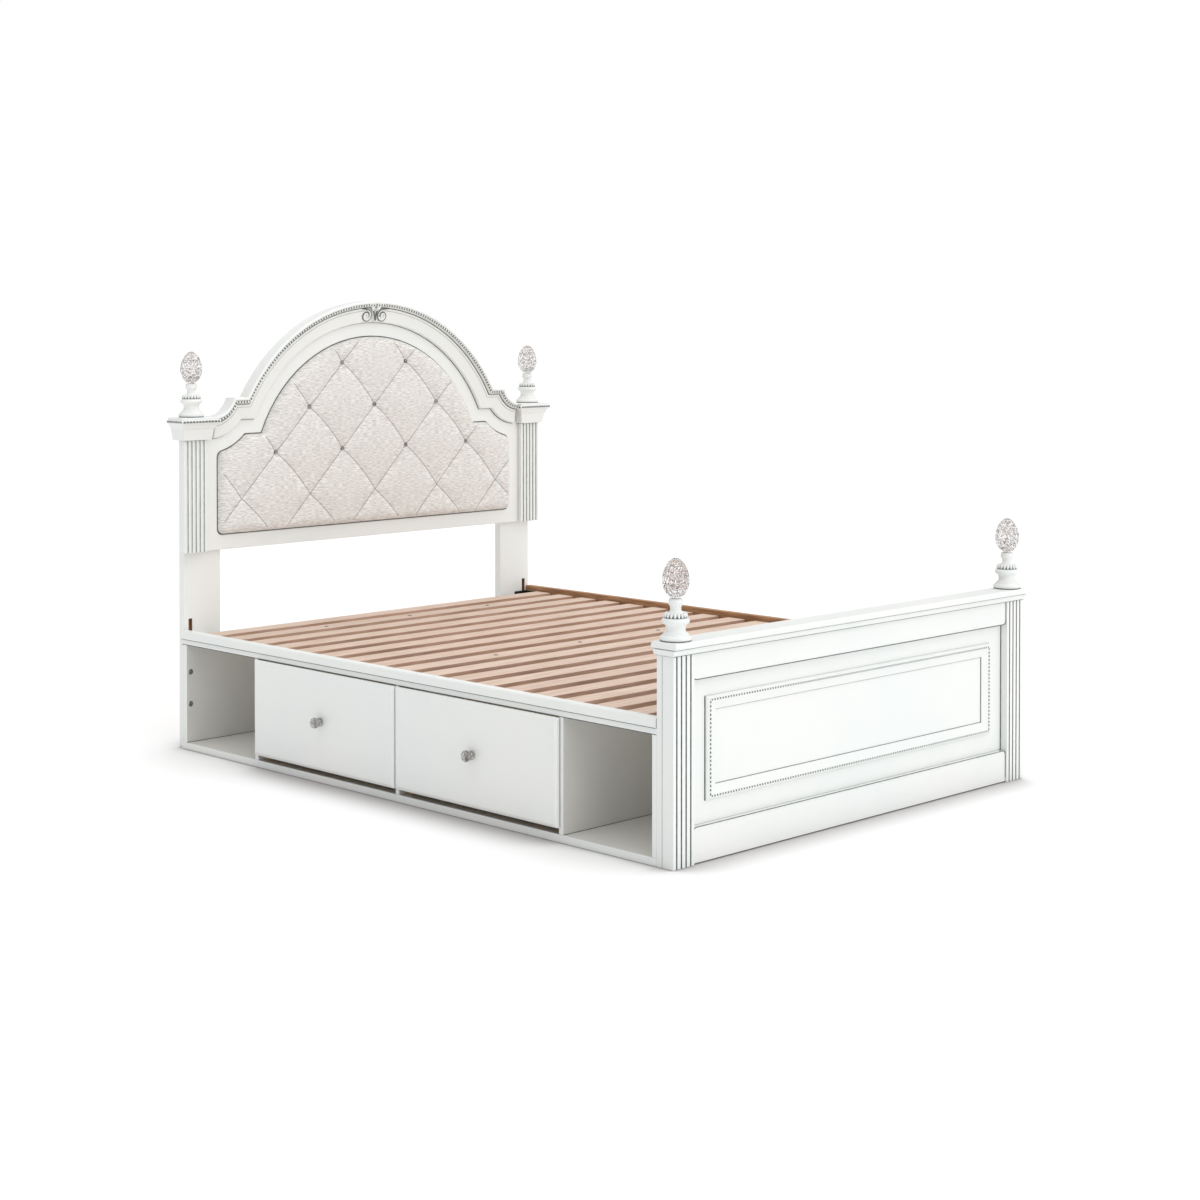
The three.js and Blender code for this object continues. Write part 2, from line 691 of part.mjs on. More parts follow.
// ---- drawers -------------------------------------------------------------------------------------
const frontBack = DRAWER.face + DRAWER.frontThickness;
const knobHeight = (DRAWER.frontLow + DRAWER.frontHigh) / 2;
for (const [name, [y0, y1]] of Object.entries(DRAWER_OPENINGS)) {
  const [front0, front1] = DRAWER_FRONTS[name];
  const [box0, box1] = [y0 + DRAWER.sideClearance, y1 - DRAWER.sideClearance];

  // The front, with a bevel round its face.
  const outline = (inset) => [
    front0 + inset,
    front1 - inset,
    DRAWER.frontLow + inset,
    DRAWER.frontHigh - inset,
  ];
  const face = stepped([
    [...outline(0), 0],
    [...outline(0), DRAWER.frontThickness - DRAWER.bevelDepth],
    [...outline(DRAWER.bevelWidth), DRAWER.frontThickness],
  ]);
  const turn = new THREE.Matrix4().makeBasis(
    new THREE.Vector3(0, 1, 0),
    new THREE.Vector3(0, 0, 1),
    new THREE.Vector3(1, 0, 0)
  );
  const mirrored = new THREE.Matrix4().makeScale(1, 1, -1);
  face.applyMatrix4(mirrored);
  face.setIndex([...face.index.array].reverse());
  face.applyMatrix4(turn).translate(frontBack, 0, 0);
  add(storage, `drawer_front_${name}`, face, paint());

  const sideFront = frontBack + GAP;
  for (const [edge, side0] of [["foot_side", box0], ["head_side", box1 - DRAWER.side]]) {
    const heights = [DRAWER.sideLow, DRAWER.sideHigh];
    const sideBoard = box(sideFront, DRAWER.boxBack, side0, side0 + DRAWER.side, ...heights);
    add(storage, `drawer_${edge}_${name}`, sideBoard, rawWood());
  }
  const inside0 = box0 + DRAWER.side + GAP;
  const inside1 = box1 - DRAWER.side - GAP;
  const floorTop = DRAWER.floorAt + DRAWER.floor;
  const backBoard = box(
    DRAWER.boxBack - DRAWER.side,
    DRAWER.boxBack,
    inside0,
    inside1,
    floorTop + GAP,
    DRAWER.sideHigh - 10
  );
  add(storage, `drawer_back_${name}`, backBoard, rawWood());
  const floorBoard = box(sideFront, DRAWER.boxBack, inside0, inside1, DRAWER.floorAt, floorTop);
  add(storage, `drawer_bottom_${name}`, floorBoard, rawWood());

  // The knob: a metal rose and neck with a cut crystal ball.
  const knobProfile = [
    [0, 0],
    [11, 0],
    [12, 3],
    [8, 5],
    [6.5, 8],
    [10, 11],
    [14.5, 15],
    [DRAWER.knobRadius, 20],
    [14, 26],
    [9, 30],
    [0, 31],
  ];
  const knob = turned(knobProfile, 12).rotateY(-Math.PI / 2);
  add(storage, `drawer_knob_${name}`, knob, chrome(), [DRAWER.face - GAP, (front0 + front1) / 2, knobHeight]);

  // Hardwood runners on the floor of the unit, one under each drawer side.
  for (const [edge, y] of [["foot_side", y0 + GAP], ["head_side", y1 - GAP - RUNNER.width]]) {
    const runner = box(RUNNER.front, insideBack, y, y + RUNNER.width, onFloor, RUNNER.top);
    add(storage, `drawer_runner_${edge}_${name}`, runner, rawWood());
  }
}

export default bed;
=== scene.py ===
import json
import math

import bpy
import numpy as np
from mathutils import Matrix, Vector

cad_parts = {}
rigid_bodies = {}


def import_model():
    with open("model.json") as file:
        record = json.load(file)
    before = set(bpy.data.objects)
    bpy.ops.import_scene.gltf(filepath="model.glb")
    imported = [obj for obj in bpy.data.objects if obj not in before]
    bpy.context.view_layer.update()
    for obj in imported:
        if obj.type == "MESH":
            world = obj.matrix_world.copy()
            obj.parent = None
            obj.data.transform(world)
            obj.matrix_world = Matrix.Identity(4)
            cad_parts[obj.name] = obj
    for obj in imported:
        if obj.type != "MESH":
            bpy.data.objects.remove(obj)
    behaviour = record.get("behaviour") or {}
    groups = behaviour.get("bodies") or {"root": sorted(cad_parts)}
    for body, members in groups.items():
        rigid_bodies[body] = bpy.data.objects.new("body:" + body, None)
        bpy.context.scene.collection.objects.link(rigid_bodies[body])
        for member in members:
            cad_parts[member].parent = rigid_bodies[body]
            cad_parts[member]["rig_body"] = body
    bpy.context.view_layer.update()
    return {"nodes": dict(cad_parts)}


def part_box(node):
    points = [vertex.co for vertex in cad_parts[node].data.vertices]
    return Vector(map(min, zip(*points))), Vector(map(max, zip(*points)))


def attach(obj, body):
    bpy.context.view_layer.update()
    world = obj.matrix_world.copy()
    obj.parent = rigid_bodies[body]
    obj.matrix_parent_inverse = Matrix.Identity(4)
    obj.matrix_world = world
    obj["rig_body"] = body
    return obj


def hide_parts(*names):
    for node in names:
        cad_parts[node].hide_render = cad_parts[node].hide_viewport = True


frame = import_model()
scene = bpy.context.scene


# ==== Headboard board, backing and legs ===========================================================
# The arched board is routed from MDF and has the pad let into it, with a plywood backing behind.
# Two square hardwood legs are screwed to its back. All of it but the backing is sprayed a soft
# white, and its grooves and corners are darkened grey-green: part glaze, part painted shade.
SLOT_HEIGHTS = (0.28, 0.40)
PAINT_WARM = (0.83, 0.84, 0.82, 1)
PAINT_COOL = (0.80, 0.825, 0.81, 1)
GLAZE_AND_SHADE = (0.16, 0.19, 0.175, 1)


def only(piece):
    """Select one piece, and nothing else."""
    bpy.ops.object.select_all(action="DESELECT")
    piece.select_set(True)
    bpy.context.view_layer.objects.active = piece


def join(pieces):
    """Several pieces made into one."""
    bpy.ops.object.select_all(action="DESELECT")
    for piece in pieces:
        piece.select_set(True)
    bpy.context.view_layer.objects.active = pieces[0]
    if len(pieces) > 1:
        bpy.ops.object.join()
    return bpy.context.object


def named_copy(mesh, name):
    """A new object at the origin that holds its own copy of a mesh."""
    piece = bpy.data.objects.new(name, mesh.copy())
    piece.data.name = name
    scene.collection.objects.link(piece)
    only(piece)
    return piece


def apply_modifier(piece, kind, **settings):
    """Put one modifier on a piece and apply it."""
    only(piece)
    modifier = piece.modifiers.new(kind.lower(), kind)
    for key, value in settings.items():
        setattr(modifier, key, value)
    bpy.ops.object.modifier_apply(modifier=modifier.name)


def smooth(piece, angle=40):
    """Smooth shading, with a crease kept wherever two faces meet at more than the angle."""
    only(piece)
    bpy.ops.object.shade_smooth_by_angle(angle=math.radians(angle))


def belong(piece, body, slot, *nodes):
    """The body a piece rides on, and the nodes it stands for; the slot is not used."""
    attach(piece, body)
    if nodes:
        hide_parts(*nodes)
    return piece


def whole_faces(node, name):
    """A copy of a node's mesh, its triangles merged back into the flat faces they came from."""
    piece = named_copy(frame["nodes"][node].data, name)
    bpy.ops.object.mode_set(mode="EDIT")
    bpy.ops.mesh.select_all(action="SELECT")
    bpy.ops.mesh.remove_doubles(threshold=1e-5)
    bpy.ops.mesh.dissolve_limited(angle_limit=math.radians(0.5))
    bpy.ops.object.mode_set(mode="OBJECT")
    return piece


def eased(node, width, slot, material, crease=28):
    """A node's own shape with its edges rounded, as sanding and spraying leave them."""
    piece = whole_faces(node, node + "_finished")
    rounding = {"width": width, "segments": 2, "limit_method": "ANGLE", "angle_limit": math.radians(crease)}
    apply_modifier(piece, "BEVEL", **rounding)
    smooth(piece)
    apply_modifier(piece, "WEIGHTED_NORMAL", keep_sharp=True)
    piece.data.materials.clear()
    piece.data.materials.append(material)
    return belong(piece, frame["nodes"][node]["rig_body"], slot, node)


def add_node(tree, kind, inputs=(), **settings):
    """One shader node: sockets given by name, from another node's output or as a plain value."""
    made = tree.nodes.new(kind)
    for key, value in settings.items():
        setattr(made, key, value)
    for key, value in dict(inputs).items():
        if isinstance(value, bpy.types.NodeSocket):
            tree.links.new(value, made.inputs[key])
        else:
            made.inputs[key].default_value = value
    return made


def new_material(name, roughness, metallic=0.0):
    """A material with its node tree and Principled shader."""
    material = bpy.data.materials.new(name)
    material.use_nodes = True
    skin = material.node_tree.nodes["Principled BSDF"]
    skin.inputs["Roughness"].default_value = roughness
    skin.inputs["Metallic"].default_value = metallic
    return material, material.node_tree, skin


def pattern(tree, stretch, scale, detail=4):
    """Noise in the piece's own space, stretched along its axes, as a number from 0 to 1."""
    place = add_node(tree, "ShaderNodeTexCoord").outputs["Object"]
    drawn = add_node(tree, "ShaderNodeMapping", {"Vector": place, "Scale": stretch}).outputs["Vector"]
    noise = add_node(tree, "ShaderNodeTexNoise", {"Vector": drawn, "Scale": scale, "Detail": detail})
    return noise.outputs["Fac"]


def fade(tree, value, start, end, low=0.0, high=1.0):
    """The value spread from start..end to low..high, and held there outside it."""
    inputs = {"Value": value, "From Min": start, "From Max": end, "To Min": low, "To Max": high}
    return add_node(tree, "ShaderNodeMapRange", inputs, interpolation_type="SMOOTHSTEP").outputs["Result"]


def feed(tree, sockets, values):
    """Each socket gets its link or its plain value."""
    for socket, value in zip(sockets, values):
        if isinstance(value, bpy.types.NodeSocket):
            tree.links.new(value, socket)
        else:
            socket.default_value = value


def blended(tree, share, first, second):
    """Two colours mixed by a share."""
    mixer = add_node(tree, "ShaderNodeMix", data_type="RGBA")
    feed(tree, (mixer.inputs[0], mixer.inputs[6], mixer.inputs[7]), (share, first, second))
    return mixer.outputs[2]


def raised(tree, skin, height, strength, distance):
    """Small relief in a surface."""
    inputs = {"Height": height, "Strength": strength, "Distance": distance}
    bump = add_node(tree, "ShaderNodeBump", inputs)
    tree.links.new(bump.outputs["Normal"], skin.inputs["Normal"])


def sprayed_paint(name, reach=0.007, deepest=0.3, lightest=0.62, darkness=0.6):
    """Satin white lacquer, darkened grey-green wherever a groove is narrower than the reach: part glaze,
    part painted shade.
    """
    material, tree, skin = new_material(name, 0.36)
    coat = blended(tree, fade(tree, pattern(tree, (1, 1, 1), 3.5), 0.35, 0.65), PAINT_WARM, PAINT_COOL)
    hollow = add_node(tree, "ShaderNodeAmbientOcclusion", {"Distance": reach}, samples=16)
    # Painted shade: the occlusion darkens the colour in grooves and corners, as glaze and as shade.
    glaze_and_shade_share = fade(tree, hollow.outputs["AO"], deepest, lightest, darkness, 0.0)
    tree.links.new(blended(tree, glaze_and_shade_share, coat, GLAZE_AND_SHADE), skin.inputs["Base Color"])
    tree.links.new(fade(tree, pattern(tree, (1, 1, 1), 40), 0.3, 0.7, 0.32, 0.42), skin.inputs["Roughness"])
    raised(tree, skin, pattern(tree, (1, 1, 1), 420, 2), 0.12, 0.0002)
    return material


def sawn_wood(name, pale, dark, stretch, streak=9, roughness=0.62):
    """Bare timber: long streaks of grain with finer pores in them."""
    material, tree, skin = new_material(name, roughness)
    broad = fade(tree, pattern(tree, stretch, streak, 3), 0.36, 0.66)
    pores = fade(tree, pattern(tree, stretch, streak * 7, 5), 0.52, 0.72, 0.0, 0.45)
    grain = blended(tree, pores, blended(tree, broad, pale, dark), dark)
    tree.links.new(grain, skin.inputs["Base Color"])
    raised(tree, skin, pattern(tree, stretch, streak * 9, 3), 0.25, 0.0004)
    return material, tree, skin


def glaze_and_shade_colour(name, dark, light):
    """The dark grey-green put in grooves and corners: glaze, and painted shade."""
    material, tree, skin = new_material(name, 0.55)
    patchy = fade(tree, pattern(tree, (1, 1, 1), 70), 0.3, 0.7)
    tree.links.new(blended(tree, patchy, dark, light), skin.inputs["Base Color"])
    return material


def mottled(name, roughness, metallic, scale, first, second):
    """A plain material whose colour wanders between two close ones."""
    material, tree, skin = new_material(name, roughness, metallic)
    colour = blended(tree, pattern(tree, (1, 1, 1), scale), first, second)
    tree.links.new(colour, skin.inputs["Base Color"])
    return material, tree, skin


def round_line(name, points, radius, closed=False, sides=1, widths=None):
    """A round strand through a line of points, as a mesh. The widths swell or thin it on the way."""
    curve = bpy.data.curves.new(name, "CURVE")
    curve.dimensions = "3D"
    curve.bevel_depth = radius
    curve.bevel_resolution = sides
    curve.use_fill_caps = not closed
    spline = curve.splines.new("POLY")
    spline.points.add(len(points) - 1)
    widths = np.ones(len(points)) if widths is None else widths
    for point, place, width in zip(spline.points, points, widths):
        point.co = (*place, 1)
        point.radius = width
    spline.use_cyclic_u = closed
    strand = bpy.data.objects.new(name, curve)
    scene.collection.objects.link(strand)
    only(strand)
    bpy.ops.object.convert(target="MESH")
    return bpy.context.object


def glaze_and_shade_lines(name, *lines, radius=0.0013, closed=False):
    """Fine dark lines in the corners where mouldings meet: glaze, and painted shade for the shadow in those
    corners.
    """
    joined = join([round_line(name, points, radius, closed) for points in lines])
    joined.name = name
    smooth(joined, 80)
    joined.data.materials.clear()
    joined.data.materials.append(glaze_and_shade)
    return belong(joined, "bed_frame", "paint")


def finish_faces(piece, finish, chosen):
    """Give the faces that a test picks a finish of their own."""
    piece.data.materials.append(finish)
    slot = len(piece.data.materials) - 1
    for face in piece.data.polygons:
        if chosen(face):
            face.material_index = slot


# Dark grey-green for grooves and corner lines: glaze, and painted shade where parts meet.
glaze_and_shade = glaze_and_shade_colour("glaze_and_shade", (0.085, 0.10, 0.093, 1), (0.17, 0.19, 0.18, 1))
thin_glaze_and_shade = glaze_and_shade_colour("thin_glaze_and_shade", (0.30, 0.335, 0.32, 1), (0.42, 0.455, 0.44, 1))
paint = sprayed_paint("white_lacquer")
plywood, _, _ = sawn_wood("backing_ply", (0.55, 0.38, 0.22, 1), (0.38, 0.24, 0.13, 1), (1, 1, 14))
eased("headboard_frame_board", 0.0016, "paint", paint)
eased("headboard_backing_board", 0.0008, "raw_wood", plywood)
slot_wood, _, _ = sawn_wood("slot_wood", (0.42, 0.23, 0.12, 1), (0.28, 0.14, 0.07, 1), (14, 14, 1))


def in_slot(face, low, high):
    """Whether a leg's face lies inside its hook slot."""
    x, y, z = face.center
    within = low.x + 0.003 < x < high.x - 0.003 and low.y + 0.0015 < y < high.y - 0.004
    return within and SLOT_HEIGHTS[0] < z < SLOT_HEIGHTS[1]


for side in ("left", "right"):
    leg = eased(f"headboard_leg_{side}", 0.0009, "paint", paint)
    leg_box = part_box(f"headboard_leg_{side}")
    finish_faces(leg, slot_wood, lambda face: in_slot(face, *leg_box))


# ==== Pilasters and capitals ======================================================================
# Each edge of the headboard has a fluted pilaster planted on it. A flared capital wraps its top,
# built up from mitred mouldings, with a row of turned beads let in under the top slab.
BEAD = 0.0034
BEAD_PITCH = 0.0104
BEAD_ROW_HEIGHT = 0.0563
CAPITAL_BEAD_SINK = 0.0006
CROWN_PROUD = 0.034
COLLAR_LINE = 0.0018
# The beads' lacquer carries stronger painted shade in the gaps between them.
bead_paint = sprayed_paint("white_lacquer_beads", 0.004, 0.15, 0.5, 0.9)


def spaced(points, pitch):
    """Points a pitch apart, or just over, along a path, its ends included."""
    path = np.array(points)
    steps = np.linalg.norm(np.diff(path, axis=0), axis=1)
    travelled = np.concatenate([[0], np.cumsum(steps)])
    count = max(int(travelled[-1] // pitch), 1)
    stations = np.linspace(0, travelled[-1], count + 1)
    return np.column_stack([np.interp(stations, travelled, path[:, axis]) for axis in range(3)])


def bead_row(name, centres, radius, back, closed=False):
    """Beads in a row: one is modelled and repeated, and the dark channel they lie in is added as painted
    shade between the beads.
    """
    bpy.ops.object.select_all(action="DESELECT")
    bpy.ops.mesh.primitive_uv_sphere_add(segments=10, ring_count=7, radius=radius)
    bead = bpy.context.object
    corners = np.array([v.co for v in bead.data.vertices])
    faces = [tuple(p.vertices) for p in bead.data.polygons]
    bpy.data.objects.remove(bead)
    strip = bpy.data.meshes.new(name)
    all_corners = (np.array(centres)[:, None, :] + corners[None]).reshape(-1, 3)
    starts = [number * len(corners) for number in range(len(centres))]
    repeated = [tuple(start + v for v in face) for start in starts for face in faces]
    strip.from_pydata(all_corners.tolist(), [], repeated)
    strip.materials.append(bead_paint)
    row = bpy.data.objects.new(name, strip)
    scene.collection.objects.link(row)
    smooth(row, 80)
    belong(row, "bed_frame", "paint")
    channel = np.array(centres) + np.array(back)
    glaze_and_shade_lines(f"{name}_channel", channel.tolist(), radius=radius * 0.96, closed=closed)


def in_flute(face, front):
    """Whether a pilaster's face is the side of a flute, between its arris and its bottom."""
    return front + 0.0006 < face.center.y < front + 0.0046 and 0.35 < abs(face.normal.x) < 0.97


board_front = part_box("headboard_frame_board")[0].y
for side, sign in (("left", -1), ("right", 1)):
    pilaster = eased(f"pilaster_{side}", 0.0008, "paint", paint)
    shaft_low, shaft_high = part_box(f"pilaster_{side}")
    # Painted shade: the flute walls take a mid grey, for the shade on the flutes' sides.
    finish_faces(pilaster, thin_glaze_and_shade, lambda face: in_flute(face, shaft_low.y))
    eased(f"capital_{side}", 0.0007, "paint", paint, 12)
    low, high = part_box(f"capital_{side}")
    inner, outer = (low.x, high.x) if sign > 0 else (high.x, low.x)
    z = low.z + BEAD_ROW_HEIGHT
    front, back = low.y + CAPITAL_BEAD_SINK, high.y - 0.002
    inner += sign * CAPITAL_BEAD_SINK
    outer -= sign * CAPITAL_BEAD_SINK
    turn = board_front - CROWN_PROUD
    corners = [(inner, turn, z), (inner, front, z), (outer, front, z), (outer, back, z)]
    runs = [spaced(corners[i:i + 2], BEAD_PITCH) for i in range(3)]
    beads = np.vstack([runs[0][:-1], runs[1][:-1], runs[2]])
    bead_row(f"capital_beads_{side}", beads, BEAD, (0, 0, -0.0001))
    # A dark line under the capital where it meets the pilaster and the board: painted shade.
    x_near, x_far = shaft_low.x - 0.0004, shaft_high.x + 0.0004
    edge_y, z = shaft_low.y - 0.0004, low.z + 0.0001
    collar = [(x_near, board_front, z), (x_near, edge_y, z), (x_far, edge_y, z), (x_far, board_front, z)]
    glaze_and_shade_lines(f"capital_glaze_{side}", collar, radius=COLLAR_LINE)


# ==== Crown moulding and its beads ================================================================
# The moulding is bent round the arch, and mitred at the shoulders and beside the capitals. It has
# a slab on top, a bead strip below it, a cove and a wide sloping frieze.
ARCH_RADIUS = 0.5785
ARCH_BEAD_INSET = 0.0128
SHOULDER_DROP = 0.293
COVE = (0.626, 0.0205, 0.075)
CROWN_LINES = {
    "lower": (0.0683, 0.0004, 0.0017), "cove": (0.0206, 0.0202, 0.0017), "frieze": (0.0300, 0.0188, 0.0005),
}
crown_low, crown_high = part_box("headboard_crown_moulding")
arch_centre = crown_high.z - ARCH_RADIUS
eased("headboard_crown_moulding", 0.0011, "paint", paint, 16)


def crown_edge(inset, y, reach):
    """The top edge of the headboard moved inwards: from one capital over the arch to the other."""
    cove_x, cove_rise, cove_radius = COVE
    shoulder = crown_high.z - SHOULDER_DROP - inset
    cove_z = crown_high.z - SHOULDER_DROP + cove_rise
    sweep, arch = cove_radius + inset, ARCH_RADIUS - inset
    first = math.asin((cove_x - reach) / sweep) if reach < cove_x else 0.0
    last = math.acos((cove_z - shoulder) / sweep)
    turns = np.linspace(first, last, 24)
    half = [(-cove_x + sweep * math.sin(a), y, cove_z - sweep * math.cos(a)) for a in turns]
    spring = math.asin((shoulder - arch_centre) / arch)
    turns = np.linspace(math.pi - spring, math.pi / 2, 90)
    half += [(arch * math.cos(a), y, arch_centre + arch * math.sin(a)) for a in turns]
    return half + [(-x, y, z) for x, y, z in reversed(half[:-1])]


crown_reach = crown_high.x + 0.012
crown_beads = spaced(crown_edge(ARCH_BEAD_INSET, board_front - 0.0305, crown_reach), BEAD_PITCH)
clear_of_scroll = [bead for bead in crown_beads if abs(bead[0]) > 0.004]
bead_row("crown_beads", clear_of_scroll, BEAD, (0, 0.0013, 0))
# Dark lines along the moulding's lower edge, cove and frieze: painted shade.
for name, (inset, proud, radius) in CROWN_LINES.items():
    line = crown_edge(inset, board_front - proud, crown_high.x - 0.001)
    glaze_and_shade_lines(f"crown_glaze_{name}", line, radius=radius)


# ==== Scroll ornament =============================================================================
# A small carving is glued over the middle of the crown: two C-scrolls back to back, with a fan of
# acanthus leaves rising between them to the top edge.
SCROLL_EYE = (0.0325, 0.0475)
SCROLL_RADIUS = 0.0180
SCROLL_TURNS = 1.3
SCROLL_LINE = 0.0016
LEAVES = ((0.029, 0.0045, 0.0030), (0.019, 0.0075, 0.0034), (0.008, 0.004, 0.0034))
LEAF_EDGE_SPREADS = (0.0125, 0.0235)
FRIEZE_SLOPE = ((0.0, 0.031), (0.018, 0.027), (0.030, 0.0195), (0.068, 0.012))


def frieze_front(z):
    """How far forward the moulding's face stands at a height on the middle line."""
    drops, proud = zip(*FRIEZE_SLOPE)
    return board_front - float(np.interp(crown_high.z - z, drops, proud))


def carved_strand(points, radii):
    """A rounded, tapering strand of carving along a line of points (x, z)."""
    line = [(x, frieze_front(z) - 0.0006, z) for x, z in points]
    return round_line("strand", line, 1.0, sides=3, widths=radii)


def coil(sign, turns, swell):
    """The spiral of one side, from its eye outwards, swollen by a little."""
    points = []
    for turn in turns:
        angle = math.pi / 2 + (1 - turn) * 2 * math.pi * SCROLL_TURNS
        radius = SCROLL_RADIUS * (1 - 0.74 * (1 - turn)) + swell
        x, z = SCROLL_EYE[0] + radius * math.cos(angle), top - SCROLL_EYE[1] + radius * math.sin(angle)
        points.append((sign * x, z))
    return points


def leaf_edge(sign, spread):
    """The shadowed edge of one leaf, from the root of the fan upwards."""
    y = frieze_front(top - 0.03) - 0.0030
    climbs = np.linspace(0, 1, 12)
    return [(sign * (0.0015 + spread * s ** 2.2), y, top - 0.062 + 0.052 * s) for s in climbs]


strands = []
top = crown_high.z
for side, sign in (("left", -1), ("right", 1)):
    turns = np.linspace(0, 1, 52)
    strands.append(carved_strand(coil(sign, turns, 0), 0.0036 - 0.0006 * turns))
    # Dark lines round the coils and along the leaves: painted shade.
    edge_of_coil = [(x, frieze_front(z) - 0.0022, z) for x, z in coil(sign, turns, 0.0037)]
    x, y, z = edge_of_coil[-1]
    edge_of_coil += [(x + sign * 0.010, y, z + 0.0010), (x + sign * 0.020, y, z + 0.0008)]
    leaf_edges = [leaf_edge(sign, spread) for spread in LEAF_EDGE_SPREADS]
    glaze_and_shade_lines(f"scroll_glaze_{side}", edge_of_coil, *leaf_edges, radius=SCROLL_LINE)
    for lean, height, girth in LEAVES:
        climb = np.linspace(0, 1, 14)
        xs = sign * (0.0035 + lean * climb ** 2.2)
        zs = top - 0.064 + (0.064 - height) * climb ** (0.75 if lean > 0.015 else 1)
        plump = np.sin(np.pi * (0.12 + 0.78 * climb)) ** 0.6
        strands.append(carved_strand(list(zip(xs, zs)), girth * plump))
rise = np.linspace(0, 1, 10)
strands.append(carved_strand([(0.0, top - 0.066 + 0.045 * s) for s in rise], 0.0036 * (1 - 0.6 * rise)))
scroll = join(strands)
scroll.name = "crown_scroll_carving"
bpy.ops.object.transform_apply()
smooth(scroll, 60)
scroll.data.materials.clear()
scroll.data.materials.append(bead_paint)
belong(scroll, "bed_frame", "paint", "crown_scroll_ornament")


# ==== Upholstered pad =============================================================================
# Foam on a board, under a slubby woven cloth, drawn in by nine crystal buttons and by stitched
# seams that cross the pad in diamonds. It is pulled tight over its edge and set into the board.
DIAMOND = (0.130, 0.136)
CROSSING_HEIGHT = 0.7385
BUTTONS = [
    (-0.130, 1.146), (0.130, 1.146),
    (-0.260, 1.0105), (0.0, 1.0105), (0.260, 1.0105),
    (-0.390, 0.8745), (-0.130, 0.8745), (0.130, 0.8745), (0.390, 0.8745),
]
PAD_VOXEL = 0.006
PAD_ROLL = 0.026
PAD_ROLL_DEPTH = 0.0235
PAD_START = 0.001
BUTTON_PULL = 0.0095
SEAM_PULL = 0.0050
SEAM_BOW = 0.036
PAD_CAP = 0.0075
CLOTH_FRAMES = 16
CLOTH = {
    "quality": 4, "mass": 0.35, "tension_stiffness": 12, "compression_stiffness": 12,
    "use_pressure": True, "uniform_pressure_force": 4.0, "vertex_group_mass": "held", "pin_stiffness": 1.0,
}
pad_low, pad_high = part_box("headboard_pad")
pad = whole_faces("headboard_pad", "headboard_pad_upholstered")
front_face = max(pad.data.polygons, key=lambda face: -face.normal.y * face.area)
rim = [pad.data.vertices[i].co for i in front_face.vertices]
outline = np.array([(corner.x, corner.z) for corner in rim])
pad.data.remesh_voxel_size = PAD_VOXEL
bpy.ops.object.voxel_remesh()


def places(mesh):
    """A mesh's vertices as an array."""
    flat = np.empty(len(mesh.vertices) * 3)
    mesh.vertices.foreach_get("co", flat)
    return flat.reshape(-1, 3)


def put(mesh, positions):
    """An array back into a mesh's vertices."""
    mesh.vertices.foreach_set("co", positions.reshape(-1))
    mesh.update()


def rim_distance(positions):
    """How far each point lies inside the pad's outline."""
    points = positions[:, [0, 2]]
    nearest = np.full(len(points), 9.0)
    for start, end in zip(outline, np.roll(outline, -1, axis=0)):
        along = end - start
        share = np.clip(((points - start) @ along) / max(along @ along, 1e-12), 0, 1)
        gaps = np.linalg.norm(points - start - share[:, None] * along, axis=1)
        nearest = np.minimum(nearest, gaps)
    return nearest


def seam_distance(positions):
    """How far each point lies from the nearest diamond seam."""
    u = positions[:, 0] / DIAMOND[0] / 2
    v = (positions[:, 2] - CROSSING_HEIGHT) / DIAMOND[1] / 2
    spacing = 2 / math.hypot(1 / DIAMOND[0], 1 / DIAMOND[1])
    bowed = u + v - SEAM_BOW * np.abs(np.sin(math.pi * (u - v)))
    folds = [np.abs(line - np.round(line)) * spacing for line in (bowed, u - v)]
    return np.minimum(*folds)


def button_distance(positions):
    """How far each point lies from the nearest button."""
    gaps = [np.hypot(positions[:, 0] - x, positions[:, 2] - z) for x, z in BUTTONS]
    return np.min(gaps, axis=0)


def front_share(positions):
    """1 on the face of the pad, falling to 0 on its back."""
    back = pad_high.y - 0.004
    return np.clip((back - positions[:, 1]) / (back - pad_low.y), 0, 1)


def pulled_in(positions, roll, seam, button, seam_width, button_width):
    """Press the edge, the seams and the buttons into the face."""
    inside = np.clip(rim_distance(positions), 0, PAD_ROLL)
    edge = roll * (1 - np.sqrt(np.maximum(1 - (1 - inside / PAD_ROLL) ** 2, 0)))
    border = np.clip((rim_distance(positions) - 0.010) / 0.02, 0, 1)
    crease = seam * np.exp(-(seam_distance(positions) / seam_width) ** 2) * border
    dimple = button * np.exp(-(button_distance(positions) / button_width) ** 2)
    depth = edge + np.maximum(crease, dimple)
    moved = positions.copy()
    moved[:, 1] += depth * front_share(positions)
    return moved


start = places(pad.data)
start[:, 1] += PAD_START * front_share(start)
start = pulled_in(start, PAD_ROLL_DEPTH, SEAM_PULL, BUTTON_PULL, 0.012, 0.026)
put(pad.data, start)
held = pad.vertex_groups.new(name="held")
seam_hold = 0.75 * np.exp(-(seam_distance(start) / 0.006) ** 2)
button_hold = np.exp(-(button_distance(start) / 0.010) ** 2)
rim_hold = 1.0 * (rim_distance(start) < 0.008)
back_hold = 1.0 * (front_share(start) < 0.45)
hold = np.max([seam_hold, button_hold, rim_hold, back_hold], axis=0)
for index, weight in enumerate(hold):
    held.add([index], float(weight), "REPLACE")
only(pad)
cloth = pad.modifiers.new("cloth", "CLOTH")
for key, value in CLOTH.items():
    setattr(cloth.settings, key, value)
cloth.settings.effector_weights.gravity = 0
cloth.collision_settings.use_collision = False
cloth.point_cache.frame_start = 1
cloth.point_cache.frame_end = CLOTH_FRAMES
for step in range(CLOTH_FRAMES):
    scene.frame_set(step + 1)
bpy.ops.object.modifier_apply(modifier="cloth")
swollen = places(pad.data)
travel = swollen - start
